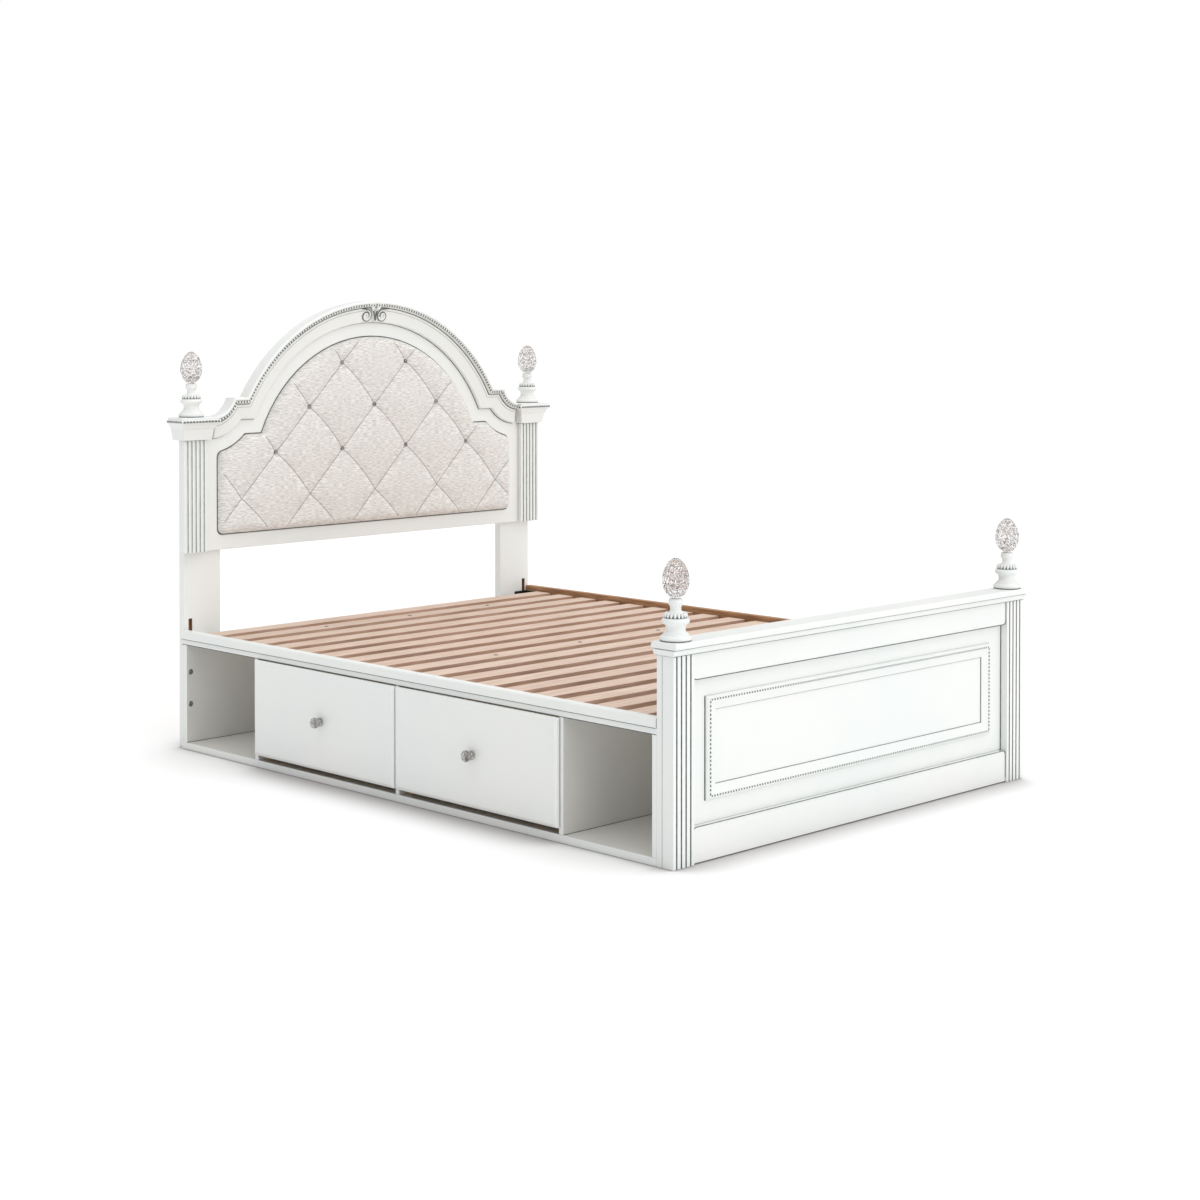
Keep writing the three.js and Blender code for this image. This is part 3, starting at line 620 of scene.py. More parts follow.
length = np.linalg.norm(travel, axis=1, keepdims=True)
put(pad.data, start + travel * np.minimum(1, PAD_CAP / np.maximum(length, 1e-9)))
scene.frame_set(1)
apply_modifier(pad, "SUBSURF", levels=1, render_levels=1)
final = places(pad.data)
put(pad.data, pulled_in(final, 0.0, 0.0016, 0.0022, 0.0028, 0.009))
final = places(pad.data)
stitched = pad.data.attributes.new("seam_share", "FLOAT", "POINT")
seam_share = np.clip((rim_distance(final) - 0.007) / 0.006, 0, 1) * (front_share(final) > 0.4)
stitched.data.foreach_set("value", seam_share.astype(np.float32))
smooth(pad, 60)

cloth_finish, tree, skin = new_material("slub_weave", 0.9)
slub = fade(tree, pattern(tree, (22, 22, 175), 2.6, 5), 0.34, 0.68)
thread = fade(tree, pattern(tree, (75, 75, 620), 2.0, 3), 0.40, 0.64, 0.0, 0.45)
weave = blended(tree, slub, (0.54, 0.515, 0.485, 1), (0.87, 0.855, 0.83, 1))
weave = blended(tree, thread, weave, (0.91, 0.90, 0.875, 1))
position = add_node(tree, "ShaderNodeTexCoord").outputs["Object"]
split = add_node(tree, "ShaderNodeSeparateXYZ", {"Vector": position})


def arithmetic(tree, operation, first, second=0.0, third=0.0):
    """One sum in a material."""
    made = add_node(tree, "ShaderNodeMath", operation=operation)
    feed(tree, made.inputs, (first, second, third))
    return made.outputs[0]


across = arithmetic(tree, "DIVIDE", split.outputs["X"], 2 * DIAMOND[0])
upward = arithmetic(tree, "SUBTRACT", split.outputs["Z"], CROSSING_HEIGHT)
upward = arithmetic(tree, "DIVIDE", upward, 2 * DIAMOND[1])
rising = arithmetic(tree, "SUBTRACT", across, upward)
swing = arithmetic(tree, "SINE", arithmetic(tree, "MULTIPLY", rising, math.pi))
swing = arithmetic(tree, "ABSOLUTE", swing)
falling = arithmetic(tree, "ADD", across, upward)
falling = arithmetic(tree, "SUBTRACT", falling, arithmetic(tree, "MULTIPLY", swing, SEAM_BOW))
folds = [arithmetic(tree, "PINGPONG", line, 0.5) for line in (rising, falling)]
nearest_fold = arithmetic(tree, "MINIMUM", *folds)
share = add_node(tree, "ShaderNodeAttribute", attribute_name="seam_share").outputs["Fac"]
# Painted shade: the cloth colour is darkened along the seam creases.
painted_seam_shade = arithmetic(tree, "MULTIPLY", fade(tree, nearest_fold, 0.0030, 0.0085, 1.0, 0.0), share)
colour = blended(tree, arithmetic(tree, "MULTIPLY", painted_seam_shade, 0.85), weave, (0.17, 0.165, 0.155, 1))
tree.links.new(colour, skin.inputs["Base Color"])
skin.inputs["Sheen Weight"].default_value = 0.25
skin.inputs["Sheen Roughness"].default_value = 0.5
raised(tree, skin, pattern(tree, (30, 30, 420), 2.4, 4), 0.5, 0.0012)
pad.data.materials.clear()
pad.data.materials.append(cloth_finish)
# A dark line in the gap round the pad: painted shade.
centre_z = (pad_low.z + pad_high.z) / 2
gap_y = board_front + 0.0012
gap_line = [(x * 1.0022, gap_y, centre_z + (z - centre_z) * 1.0045) for x, z in outline]
glaze_and_shade_lines("pad_gap_shade_line", gap_line, radius=0.0011, closed=True)
belong(pad, "bed_frame", "fabric", "headboard_pad")


# ==== Pad buttons =================================================================================
# Each button is a small cut-glass stone in a metal cup, tied back through the foam.
BUTTON_CUP = [(0.0040, 0.0), (0.0070, 0.0006), (0.0077, 0.0022), (0.0073, 0.0034), (0.0056, 0.0036)]
FACING_FRONT = (math.pi / 2, 0, 0)


def settle(piece, turn=(0, 0, 0), place=(0, 0, 0)):
    """Turn a piece about the origin, move it to its place, and write both into its mesh."""
    only(piece)
    piece.rotation_euler = turn
    piece.location = place
    bpy.ops.object.transform_apply()


def turned(name, profile, sides=32, turn=(0, 0, 0)):
    """A lathe-turned shape: a disc extruded and scaled up its axis through each (radius, height)."""
    bpy.ops.object.select_all(action="DESELECT")
    bpy.ops.mesh.primitive_circle_add(vertices=sides, radius=profile[0][0], fill_type="NGON")
    piece = bpy.context.object
    piece.name = name
    piece.data.name = name
    bpy.ops.object.mode_set(mode="EDIT")
    bpy.ops.mesh.select_mode(type="FACE")
    bpy.ops.mesh.select_all(action="SELECT")
    for (r0, h0), (r1, h1) in zip(profile, profile[1:]):
        bpy.ops.mesh.extrude_region_move(TRANSFORM_OT_translate={"value": (0, 0, h1 - h0)})
        scale = r1 / r0
        bpy.ops.transform.resize(value=(scale, scale, 1), center_override=(0, 0, h1))
    bpy.ops.mesh.select_all(action="SELECT")
    bpy.ops.mesh.normals_make_consistent(inside=False)
    bpy.ops.object.mode_set(mode="OBJECT")
    settle(piece, turn)
    return piece


def cut_stone(name, around, rows, width, height, point, egg=0.0):
    """A glass body cut all over into diamond points, on the origin. Egg narrows its top."""
    bpy.ops.object.select_all(action="DESELECT")
    bpy.ops.mesh.primitive_uv_sphere_add(segments=around, ring_count=rows, radius=1)
    piece = bpy.context.object
    piece.name = name
    piece.data.name = name
    bpy.ops.object.mode_set(mode="EDIT")
    bpy.ops.mesh.select_all(action="SELECT")
    bpy.ops.mesh.mark_seam(clear=False)
    bpy.ops.mesh.poke()
    bpy.ops.mesh.select_mode(type="EDGE")
    bpy.ops.mesh.select_all(action="DESELECT")
    bpy.ops.object.mode_set(mode="OBJECT")
    for edge in piece.data.edges:
        edge.select = edge.use_seam
    bpy.ops.object.mode_set(mode="EDIT")
    bpy.ops.mesh.dissolve_edges(use_verts=False, use_face_split=False)
    bpy.ops.object.mode_set(mode="OBJECT")
    body = places(piece.data)
    body /= np.linalg.norm(body, axis=1, keepdims=True)
    taper = 1 - egg * (body[:, 2] + 0.25) - 0.6 * egg * body[:, 2] ** 2
    body[:, 0] *= width / 2 * taper
    body[:, 1] *= width / 2 * taper
    body[:, 2] = (body[:, 2] + 1) * height / 2
    put(piece.data, body)
    bpy.ops.object.mode_set(mode="EDIT")
    bpy.ops.mesh.select_all(action="SELECT")
    bpy.ops.mesh.normals_make_consistent(inside=False)
    bpy.ops.mesh.poke(offset=point)
    bpy.ops.object.mode_set(mode="OBJECT")
    return piece


glass, tree, skin = new_material("cut_glass", 0.03)
skin.inputs["Transmission Weight"].default_value = 1.0
skin.inputs["IOR"].default_value = 1.52
# Painted reflection: dark brown patches in the glass colour stand in for dark things seen in the facets.
dark_reflection_spots = fade(tree, pattern(tree, (1, 1, 1), 150, 1), 0.55, 0.61)
reflection_tint = blended(tree, dark_reflection_spots, (0.985, 0.98, 0.98, 1), (0.34, 0.27, 0.24, 1))
tree.links.new(reflection_tint, skin.inputs["Base Color"])

METAL = ((0.30, 0.295, 0.29, 1), (0.55, 0.545, 0.54, 1))
chrome, tree, skin = mottled("polished_metal", 0.14, 1.0, 60, *METAL)
tree.links.new(fade(tree, pattern(tree, (1, 1, 1), 220), 0.3, 0.7, 0.10, 0.22), skin.inputs["Roughness"])

surface = places(pad.data)
cup = turned("button_cup", BUTTON_CUP, 24, FACING_FRONT)
smooth(cup, 50)
cup.data.materials.append(chrome)
stone = cut_stone("button_stone", 10, 6, 0.0118, 0.0070, 0.0006)
stone.data.materials.append(glass)
settle(stone, FACING_FRONT)
for number, (x, z) in enumerate(BUTTONS):
    near = np.hypot(surface[:, 0] - x, surface[:, 2] - z) < 0.007
    y = surface[near, 1].min() + 0.0022
    for model, lift, slot in ((cup, 0.0, "steel"), (stone, 0.0012, "crystal")):
        copy = named_copy(model.data, f"{model.name}_{number + 1}")
        settle(copy, place=(x, y - lift, z))
        belong(copy, "bed_frame", slot)
for model in (cup, stone):
    bpy.data.objects.remove(model)


# ==== Finials =====================================================================================
# Four turned wooden stems, one on each capital and each foot post, are doweled in and painted. A
# ring of carved petals runs round each, and a cut-glass egg is glued into the collar on top.
STEM = [
    (0.0340, 0.0), (0.0370, 0.0015), (0.0388, 0.0055), (0.0382, 0.0095), (0.0355, 0.0125),
    (0.0318, 0.0135), (0.0312, 0.0145), (0.0312, 0.0170), (0.0300, 0.0182), (0.0262, 0.0200),
    (0.0238, 0.0240), (0.0230, 0.0290), (0.0240, 0.0345), (0.0268, 0.0390), (0.0315, 0.0415),
    (0.0338, 0.0445), (0.0342, 0.0480), (0.0328, 0.0515), (0.0295, 0.0540), (0.0245, 0.0552),
    (0.0238, 0.0565), (0.0240, 0.0620), (0.0205, 0.0665), (0.0150, 0.0695), (0.0130, 0.0735),
    (0.0130, 0.0775), (0.0142, 0.0820), (0.0160, 0.0850), (0.0182, 0.0865), (0.0184, 0.0895),
    (0.0172, 0.0915), (0.0178, 0.0960), (0.0160, 0.0995), (0.0130, 0.1008),
]
PETALS = 18
PETAL_RING = (0.0250, 0.0612)
SHADE_RINGS = ((0.0352, 0.0006), (0.0262, 0.0560))
SHADE_RING_LINE = 0.0022
stem = turned("finial_stem", STEM, 40)
apply_modifier(stem, "SUBSURF", levels=1, render_levels=1)
smooth(stem, 60)
stem.data.materials.append(paint)
egg = cut_stone("finial_egg", 18, 12, 0.0635, 0.0920, 0.0030, 0.11)
egg.data.materials.append(glass)


def circle(centre, radius, height, count):
    """Points round a level circle, each with its angle."""
    x, y = centre
    angles = [2 * math.pi * index / count for index in range(count)]
    return [(a, (x + radius * math.cos(a), y + radius * math.sin(a), height)) for a in angles]


def petal_ring(name):
    """A ring of carved petals, each a drop that leans outwards."""
    pieces = []
    for angle, place in circle((0, 0), *PETAL_RING, PETALS):
        bpy.ops.object.select_all(action="DESELECT")
        bpy.ops.mesh.primitive_uv_sphere_add(segments=10, ring_count=8, radius=0.0042)
        petal = bpy.context.object
        petal.scale = (0.90, 0.78, 1.70)
        bpy.ops.object.transform_apply()
        settle(petal, (0, -0.35, angle), place)
        pieces.append(petal)
    ring = join(pieces)
    ring.name = name
    smooth(ring, 70)
    return ring


petals = petal_ring("finial_petals")
petals.data.materials.append(bead_paint)
for end in ("head", "foot"):
    for side in ("left", "right"):
        low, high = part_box(f"finial_stem_{end}_{side}")
        centre = ((low.x + high.x) / 2, (low.y + high.y) / 2)
        egg_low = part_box(f"finial_crystal_{end}_{side}")[0].z
        turned_stem = named_copy(stem.data, f"finial_stem_{end}_{side}_turned")
        settle(turned_stem, place=(*centre, low.z))
        belong(turned_stem, "bed_frame", "paint", f"finial_stem_{end}_{side}")
        ring = named_copy(petals.data, f"finial_petals_{end}_{side}")
        settle(ring, place=(*centre, low.z))
        belong(ring, "bed_frame", "paint")
        # Dark rings at the stem's foot and under the petals: painted shade.
        rings = [[place for _, place in circle(centre, r, low.z + rise, 40)] for r, rise in SHADE_RINGS]
        glaze_and_shade_lines(f"finial_glaze_{end}_{side}", *rings, radius=SHADE_RING_LINE, closed=True)
        crystal = named_copy(egg.data, f"finial_egg_{end}_{side}")
        settle(crystal, (0, 0, 0.13 * len(side)), (*centre, egg_low + 0.0006))
        belong(crystal, "bed_frame", "crystal", f"finial_crystal_{end}_{side}")
for model in (stem, egg, petals):
    bpy.data.objects.remove(model)


# ==== Footboard ===================================================================================
# Two grooved posts carry a moulded cap, with a flat panel held between two cross rails. A frame
# of moulding is pinned to the panel, with a strip of small beads let into it.
FOOT_BEAD = 0.0032
FOOT_BEAD_PITCH = 0.0097
FOOT_BEAD_INSET = 0.0095
RAIL_CORNER = 0.012
RAIL_REACHES = (0.060, 0.075)
CAP_LINES = ((0.0004, 0.0148), (0.0163, 0.0120))


def in_groove(face, front):
    """Whether a post's face is the bottom of one of its grooves."""
    return front + 0.0012 < face.center.y < front + 0.0052 and face.normal.y < -0.2


for node in ("foot_post_left", "foot_post_right"):
    post = eased(node, 0.0006, "paint", paint)
    post_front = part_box(node)[0].y
    # Painted shade: the groove bottoms take the dark grey-green.
    finish_faces(post, glaze_and_shade, lambda face: in_groove(face, post_front))
eased("foot_cap_rail", 0.0009, "paint", paint, 14)
eased("foot_top_rail", 0.0012, "paint", paint, 14)
eased("foot_bottom_rail", 0.0012, "paint", paint, 14)
eased("foot_panel", 0.0005, "paint", paint)
eased("foot_panel_moulding", 0.0008, "paint", paint, 14)
low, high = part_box("foot_panel_moulding")


def frame_corners(inset, y):
    """The four corners of the panel moulding, moved in by an inset."""
    left, right = low.x + inset, high.x - inset
    bottom, upper = low.z + inset, high.z - inset
    return [(left, y, bottom), (right, y, bottom), (right, y, upper), (left, y, upper)]


corners = frame_corners(FOOT_BEAD_INSET, low.y + 0.0002)
runs = [spaced([corners[i], corners[(i + 1) % 4]], FOOT_BEAD_PITCH)[:-1] for i in range(4)]
bead_row("foot_panel_beads", np.vstack(runs), FOOT_BEAD, (0, 0.0012, 0), closed=True)
# Dark lines where the moulding meets the panel, inside it and along its sides: painted shade.
panel_front = high.y
inner_corners = frame_corners(0.0354, panel_front - 0.0002)
glaze_and_shade_lines("panel_moulding_shade_line", inner_corners, radius=0.0012, closed=True)
bottom_left, bottom_right, top_right, top_left = frame_corners(-0.0004, panel_front - 0.0002)
sides = [bottom_left, top_left], [bottom_right, top_right]
glaze_and_shade_lines("panel_moulding_edges", *sides, radius=0.0017)
panel_low, panel_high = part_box("foot_panel")
reach = panel_high.x - 0.0002
rail_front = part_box("foot_top_rail")[0].y
rounded = [
    (RAIL_CORNER * (1 - math.sin(turn)), RAIL_CORNER * (1 - math.cos(turn)))
    for turn in np.linspace(0, math.pi / 2, 6)
]
# Dark lines where the rails meet the panel: painted shade.
rail_lines = []
for edge, way, far in zip((panel_high.z, panel_low.z), (1, -1), RAIL_REACHES):
    half = [(-reach + inset, rail_front - 0.0002, edge + way * rise) for inset, rise in rounded]
    run = [(-reach, rail_front - 0.0002, edge + way * far), *reversed(half)]
    rail_lines.append(run + [(-x, y, z) for x, y, z in reversed(run)])
glaze_and_shade_lines("panel_rail_shade_line", *rail_lines, radius=0.0012)
# Dark lines where the panel meets the posts: painted shade.
ends = (panel_low.z, panel_high.z)
stiles = [[(x, panel_front - 0.0004, z) for z in ends] for x in (-reach, reach)]
glaze_and_shade_lines("panel_post_shade_line", *stiles, radius=0.0016)
post_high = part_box("foot_post_right")[1]
for side, sign in (("left", -1), ("right", 1)):
    joint = [(sign * (post_high.x + 0.0001), post_high.y - 0.018, z) for z in (0.002, 0.502)]
    glaze_and_shade_lines(f"post_joint_{side}", joint, radius=0.0005)
# Dark lines under the cap's steps: painted shade.
cap_low, cap_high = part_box("foot_cap_rail")
for number, (rise, setback) in enumerate(CAP_LINES):
    z = cap_low.z + rise
    front, back = cap_low.y + setback, cap_high.y - 0.008
    left, right = cap_low.x + (setback - 0.0058), cap_high.x - (setback - 0.0058)
    line = [(left, back, z), (left, front, z), (right, front, z), (right, back, z)]
    glaze_and_shade_lines(f"cap_rail_glaze_{number + 1}", line, radius=0.0010)


# ==== Plain side rail, ledger and brackets ========================================================
# The far rail is a bare hardwood board, white outside and brown inside, with a ledger screwed
# along it for the slats. Black steel angles join it to the leg and the post.
rail_wood, _, _ = sawn_wood("rail_wood", (0.46, 0.25, 0.125, 1), (0.30, 0.15, 0.07, 1), (14, 1, 14))
rail = eased("side_rail_right", 0.0015, "raw_wood", rail_wood)
rail_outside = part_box("side_rail_right")[1].x - 0.003
finish_faces(rail, paint, lambda face: face.center.x > rail_outside)
eased("slat_ledger_right", 0.001, "raw_wood", rail_wood)
BLACK = ((0.012, 0.014, 0.018, 1), (0.035, 0.038, 0.045, 1))
black_steel, _, _ = mottled("black_steel", 0.45, 0.6, 120, *BLACK)
SCREW = [(0.0052, 0.0), (0.0052, 0.0006), (0.0044, 0.0018), (0.0030, 0.0026)]


def socket_head(name, profile, sides, socket_size, depth, turn, place, material):
    """A screw or bolt head with a driving socket sunk in it."""
    head = turned(name, profile, sides)
    bpy.ops.object.mode_set(mode="EDIT")
    bpy.ops.mesh.select_all(action="DESELECT")
    bpy.ops.object.mode_set(mode="OBJECT")
    crest = max(head.data.polygons, key=lambda face: face.center.z)
    crest.select = True
    bpy.ops.object.mode_set(mode="EDIT")
    bpy.ops.mesh.inset(thickness=socket_size)
    bpy.ops.mesh.extrude_region_move(TRANSFORM_OT_translate={"value": (0, 0, -depth)})
    bpy.ops.object.mode_set(mode="OBJECT")
    smooth(head, 35)
    head.data.materials.append(material)
    settle(head, turn, place)
    return belong(head, "bed_frame", "steel")


for end in ("head", "foot"):
    eased(f"rail_bracket_{end}", 0.0005, "steel", black_steel)
    low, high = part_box(f"rail_bracket_{end}")
    inner_face = high.x - 0.0032
    middle = (low.y + high.y) / 2
    for number, offset in enumerate((-0.011, 0.011)):
        place = (inner_face - 0.0001, middle + offset, low.z + 0.0205)
        name = f"bracket_screw_{end}_{number + 1}"
        socket_head(name, SCREW, 20, 0.0010, 0.0014, (0, -math.pi / 2, 0), place, chrome)


# ==== Slats, straps and bearers ===================================================================
# Seventeen sawn softwood slats are stapled to two webbing straps, so they roll out in two lengths.
# Three bearers with legs are bolted up under them, with the bolt heads showing on top.
SLAT_PITCH = 0.1098
SLAT_FACE = 0.018
GLIDE_TOP = 0.0119
BEARER_LEG_TOP = 0.285
BOLTS_AT = (-0.330, 0.0, 0.330)
BOLT = [(0.0070, 0.0), (0.0070, 0.0010), (0.0062, 0.0026), (0.0040, 0.0034)]
SLAT = ((0.71, 0.555, 0.455, 1), (0.60, 0.44, 0.345, 1))
slat_wood, tree, skin = sawn_wood("slat_wood", *SLAT, (1, 12, 12), 7)
position = add_node(tree, "ShaderNodeTexCoord").outputs["Object"]
split = add_node(tree, "ShaderNodeSeparateXYZ", {"Vector": position})
row = arithmetic(tree, "DIVIDE", split.outputs["Y"], SLAT_PITCH)
first_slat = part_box("slat_roll_head")[1].y
row = arithmetic(tree, "SUBTRACT", row, (first_slat + 0.02) / SLAT_PITCH)
number = arithmetic(tree, "FLOOR", row)
own_shade = add_node(tree, "ShaderNodeTexWhiteNoise", {"W": number}, noise_dimensions="1D")
grain = skin.inputs["Base Color"].links[0].from_socket
share = fade(tree, own_shade.outputs["Value"], 0, 1, 0, 0.35)
tree.links.new(blended(tree, share, grain, (0.56, 0.40, 0.315, 1)), skin.inputs["Base Color"])
# Painted shade: the slats' long edges take a darker copy of the slat wood, for the shade between the slats.
SLAT_EDGE_SHADE = ((0.54, 0.35, 0.26, 1), (0.42, 0.26, 0.18, 1))
slat_edge_shade, _, _ = sawn_wood("slat_edge_painted_shade", *SLAT_EDGE_SHADE, (1, 12, 12), 7)

webbing, tree, skin = new_material("strap_webbing", 0.85)
ribs = add_node(tree, "ShaderNodeTexWave", {"Scale": 160, "Distortion": 0.4}, bands_direction="Y")
ribbed = blended(tree, ribs.outputs["Fac"], (0.10, 0.10, 0.10, 1), (0.22, 0.22, 0.21, 1))
tree.links.new(ribbed, skin.inputs["Base Color"])
for roll in ("head", "foot"):
    slats = eased(f"slat_roll_{roll}", 0.0016, "slats", slat_wood)
    strap_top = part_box(f"slat_roll_{roll}")[1].z - SLAT_FACE - 0.0003
    finish_faces(slats, webbing, lambda face: face.center.z < strap_top)
    finish_faces(slats, slat_edge_shade, lambda face: face.center.z >= strap_top and abs(face.normal.y) > 0.75)
BEARER = ((0.62, 0.44, 0.28, 1), (0.46, 0.30, 0.17, 1))
bearer_wood, _, _ = sawn_wood("bearer_wood", *BEARER, (1, 9, 9))
leg_wood, _, _ = sawn_wood("bearer_leg_wood", *BEARER, (9, 9, 0.8), 7)
ZINC = ((0.20, 0.18, 0.17, 1), (0.34, 0.32, 0.31, 1))
bolt_steel, _, _ = mottled("zinc_steel", 0.4, 0.8, 200, *ZINC)
PLASTIC = ((0.03, 0.03, 0.03, 1), (0.06, 0.06, 0.06, 1))
glide_plastic, _, _ = mottled("glide_plastic", 0.5, 0.0, 200, *PLASTIC)


def on_leg(face):
    """Whether a bearer's face is on the side of one of its legs, above the plastic glide."""
    return GLIDE_TOP <= face.center.z < BEARER_LEG_TOP and face.normal.z > -0.5


slat_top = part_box("slat_roll_head")[1].z
for name in ("head", "middle", "foot"):
    bearer = eased(f"slat_bearer_{name}", 0.0012, "raw_wood", bearer_wood)
    finish_faces(bearer, glide_plastic, lambda face: face.center.z < GLIDE_TOP)
    finish_faces(bearer, leg_wood, on_leg)
    low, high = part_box(f"slat_bearer_{name}")
    for number, x in enumerate(BOLTS_AT):
        place = (x, (low.y + high.y) / 2, slat_top - 0.0016)
        bolt = f"bearer_bolt_{name}_{number + 1}"
        socket_head(bolt, BOLT, 24, 0.0012, 0.0022, (0, 0, 0), place, bolt_steel)


# ==== Storage unit ================================================================================
# A plain lacquered cabinet stands along the near side in place of a rail: a floor, five uprights,
# a back, a stretcher and a moulded top rail. Cam fittings in the end panel have round covers.
COVER_HEIGHTS = (0.135, 0.231)
COVER = [(0.0085, 0.0), (0.0085, 0.0008), (0.0072, 0.0016), (0.0050, 0.0018)]
CUBBY_TOP = 0.312
# The cabinet's lacquer darkens its corners with painted shade, as the other lacquer does.
cabinet_paint = sprayed_paint("white_lacquer_cabinet", 0.005, 0.2, 0.5, 0.5)
storage_boards = [
    "storage_bottom_panel", "storage_foot_end_panel", "storage_divider_foot", "storage_divider_middle",
    "storage_divider_head", "storage_head_end_panel", "storage_back_panel", "storage_front_stretcher",
    "storage_top_rail",
]
# Painted shade: the faces inside the cabinet take a darker grey copy of the lacquer, for the shade in the
# cubbies.
inside_painted_shade, tree, skin = new_material("cabinet_lacquer_painted_shade", 0.5)
shade_wander = fade(tree, pattern(tree, (1, 1, 1), 4), 0.3, 0.7)
shaded_grey = blended(tree, shade_wander, (0.69, 0.685, 0.65, 1), (0.655, 0.65, 0.62, 1))
tree.links.new(shaded_grey, skin.inputs["Base Color"])
raised(tree, skin, pattern(tree, (1, 1, 1), 420, 2), 0.12, 0.0002)
cabinet_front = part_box("storage_divider_foot")[0].x
cabinet_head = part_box("storage_head_end_panel")[1].y


def within_cabinet(face):
    """Whether a board's face looks into the cabinet, and not out at its front or its head end."""
    return face.center.x > cabinet_front + 0.002 and face.center.y < cabinet_head - 0.002


for node in storage_boards:
    board = eased(node, 0.0010, "paint", cabinet_paint)
    if node not in ("storage_top_rail", "storage_front_stretcher"):
        finish_faces(board, inside_painted_shade, within_cabinet)
rail_low, rail_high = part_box("storage_top_rail")
stretcher_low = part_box("storage_front_stretcher")[0]
run = (rail_low.y + 0.002, rail_high.y - 0.002)
seam = [(rail_low.x + 0.0028, y, rail_low.z) for y in run]
under = [(stretcher_low.x + 0.0002, y, stretcher_low.z) for y in run]
# Dark lines under the top rail and the stretcher: painted shade.
glaze_and_shade_lines("top_rail_shade_line", seam, radius=0.0012)
glaze_and_shade_lines("stretcher_shade_line", under, radius=0.0013)
floor_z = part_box("storage_bottom_panel")[1].z + 0.0003
back_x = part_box("storage_back_panel")[0].x - 0.0008
# Dark lines in the cubbies' corners: painted shade.
corner_lines = []
for near, far in (("foot_end_panel", "divider_foot"), ("divider_head", "head_end_panel")):
    first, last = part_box(f"storage_{near}")[1].y + 0.0005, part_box(f"storage_{far}")[0].y - 0.0005
    corner_lines += [
        [(cabinet_front + 0.003, last, floor_z), (back_x, last, floor_z), (back_x, first, floor_z)],
        [(back_x, last, floor_z), (back_x, last, CUBBY_TOP)],
    ]
glaze_and_shade_lines("cubby_corner_lines", *corner_lines, radius=0.0012)
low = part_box("storage_head_end_panel")[0]
for number, z in enumerate(COVER_HEIGHTS):
    place = (low.x + 0.014, low.y, z)
    socket_head(f"cam_cover_{number + 1}", COVER, 28, 0.0012, 0.0012, FACING_FRONT, place, chrome)


# ==== Drawers and knobs ===========================================================================
# Two birch-sided drawers slide on hardwood runners. Each has an overlaid front with a bevel all
# round, and a metal knob that holds a cut-glass ball.
BIRCH = ((0.68, 0.53, 0.36, 1), (0.56, 0.41, 0.26, 1))
drawer_wood, _, _ = sawn_wood("drawer_wood", *BIRCH, (10, 0.7, 10), 6)
drawer_side_wood, _, _ = sawn_wood("drawer_side_wood", *BIRCH, (0.7, 10, 10), 6)
KNOB_STEM = [
    (0.0100, 0.0), (0.0118, 0.0006), (0.0120, 0.0022), (0.0105, 0.0036), (0.0078, 0.0044),
    (0.0062, 0.0062), (0.0062, 0.0080), (0.0082, 0.0100), (0.0112, 0.0118), (0.0128, 0.0134),
    (0.0118, 0.0142),
]
TO_NEAR_SIDE = (0, -math.pi / 2, 0)
knob_stem = turned("knob_stem", KNOB_STEM, 32, TO_NEAR_SIDE)
smooth(knob_stem, 45)
knob_stem.data.materials.append(chrome)
knob_ball = cut_stone("knob_ball", 14, 9, 0.0300, 0.0205, 0.0009)
knob_ball.data.materials.append(glass)
settle(knob_ball, TO_NEAR_SIDE)
for name in ("foot", "head"):
    body = f"drawer_{name}"
    eased(f"drawer_front_{name}", 0.0009, "paint", paint, 12)
    for part in ("back", "bottom"):
        eased(f"drawer_{part}_{name}", 0.0008, "raw_wood", drawer_wood)
    for part in ("foot_side", "head_side", "runner_foot_side", "runner_head_side"):
        eased(f"drawer_{part}_{name}", 0.0007, "raw_wood", drawer_side_wood)
    low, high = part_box(f"drawer_knob_{name}")
    centre = (high.x, (low.y + high.y) / 2, (low.z + high.z) / 2)
    mount = named_copy(knob_stem.data, f"drawer_knob_stem_{name}")
    settle(mount, place=centre)
    belong(mount, body, "knob", f"drawer_knob_{name}")
    ball = named_copy(knob_ball.data, f"drawer_knob_ball_{name}")
    settle(ball, place=(centre[0] - 0.0105, centre[1], centre[2]))
    belong(ball, body, "crystal")
for model in (knob_stem, knob_ball):
    bpy.data.objects.remove(model)


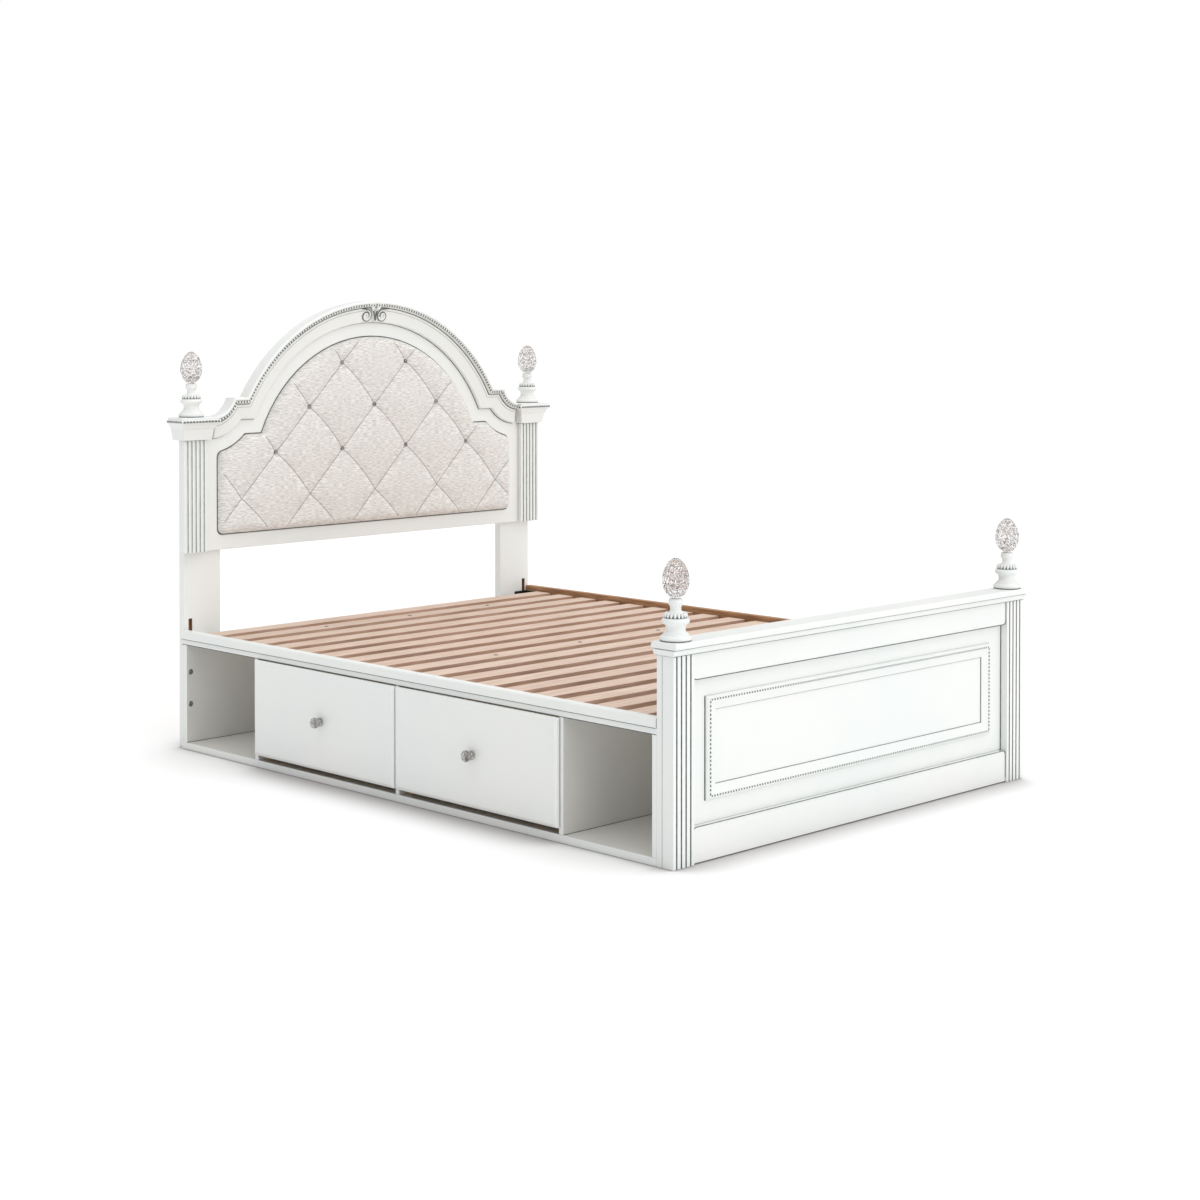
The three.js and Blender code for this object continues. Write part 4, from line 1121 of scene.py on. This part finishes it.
# ==== Studio ======================================================================================
# A pale seamless floor in an even white room, with a very broad soft light overhead and a weaker
# one beyond the foot of the bed. A painted contact shadow darkens the floor where the bed stands close to
# it.
ROOM_FILL = 0.55
SKY_LIGHTS = {
    "overhead_light": (1.8, (0.15, -0.10, 1.0), 100),
    "foot_light": (0.80, (0.0, -1.0, 0.30), 60),
}
bpy.ops.object.select_all(action="DESELECT")
bpy.ops.mesh.primitive_plane_add(size=160, location=(0, 0, -0.0006))
floor = bpy.context.object
floor.name = "studio_floor"
floor_finish, tree, skin = new_material("studio_floor", 0.9)
wander = pattern(tree, (1, 1, 1), 1.5)
pale = blended(tree, wander, (0.965, 0.965, 0.965, 1), (0.975, 0.975, 0.975, 1))
# Painted contact shadow: the floor colour darkens by occlusion near the bed.
near_bed = add_node(tree, "ShaderNodeAmbientOcclusion", {"Distance": 0.20}, samples=16)
painted_contact_shadow = fade(tree, near_bed.outputs["AO"], 0.38, 0.96, 1.0, 0.0)
tree.links.new(blended(tree, painted_contact_shadow, pale, (0.46, 0.44, 0.44, 1)), skin.inputs["Base Color"])
floor.data.materials.append(floor_finish)
world = bpy.data.worlds.new("white_room")
scene.world = world
world.use_nodes = True
tree = world.node_tree
fill = tree.nodes["Background"]
fill.inputs["Color"].default_value = (1, 1, 1, 1)
seen = add_node(tree, "ShaderNodeLightPath").outputs["Is Camera Ray"]
tree.links.new(fade(tree, seen, 0, 1, ROOM_FILL, 1.0), fill.inputs["Strength"])
for name, (strength, (from_x, from_y, from_z), spread) in SKY_LIGHTS.items():
    sky = bpy.data.lights.new(name, "SUN")
    sky.energy = strength
    sky.angle = math.radians(spread)
    sky_object = bpy.data.objects.new(name, sky)
    scene.collection.objects.link(sky_object)
    lean = math.atan2(math.hypot(from_x, from_y), from_z)
    sky_object.rotation_euler = (lean, 0, math.atan2(from_y, from_x) + math.pi / 2)

camera = bpy.data.objects.new("camera", bpy.data.cameras.new("camera"))
scene.collection.objects.link(camera)
camera.location = (-4.46196, -4.52236, 1.33244)
camera.rotation_euler = (math.radians(88.8434), 0, math.radians(-44.955))
camera.data.lens = 65.86
camera.data.sensor_width = 36
camera.data.shift_y = -0.21
camera.data.clip_end = 200
scene.camera = camera
scene.view_settings.view_transform = "Standard"
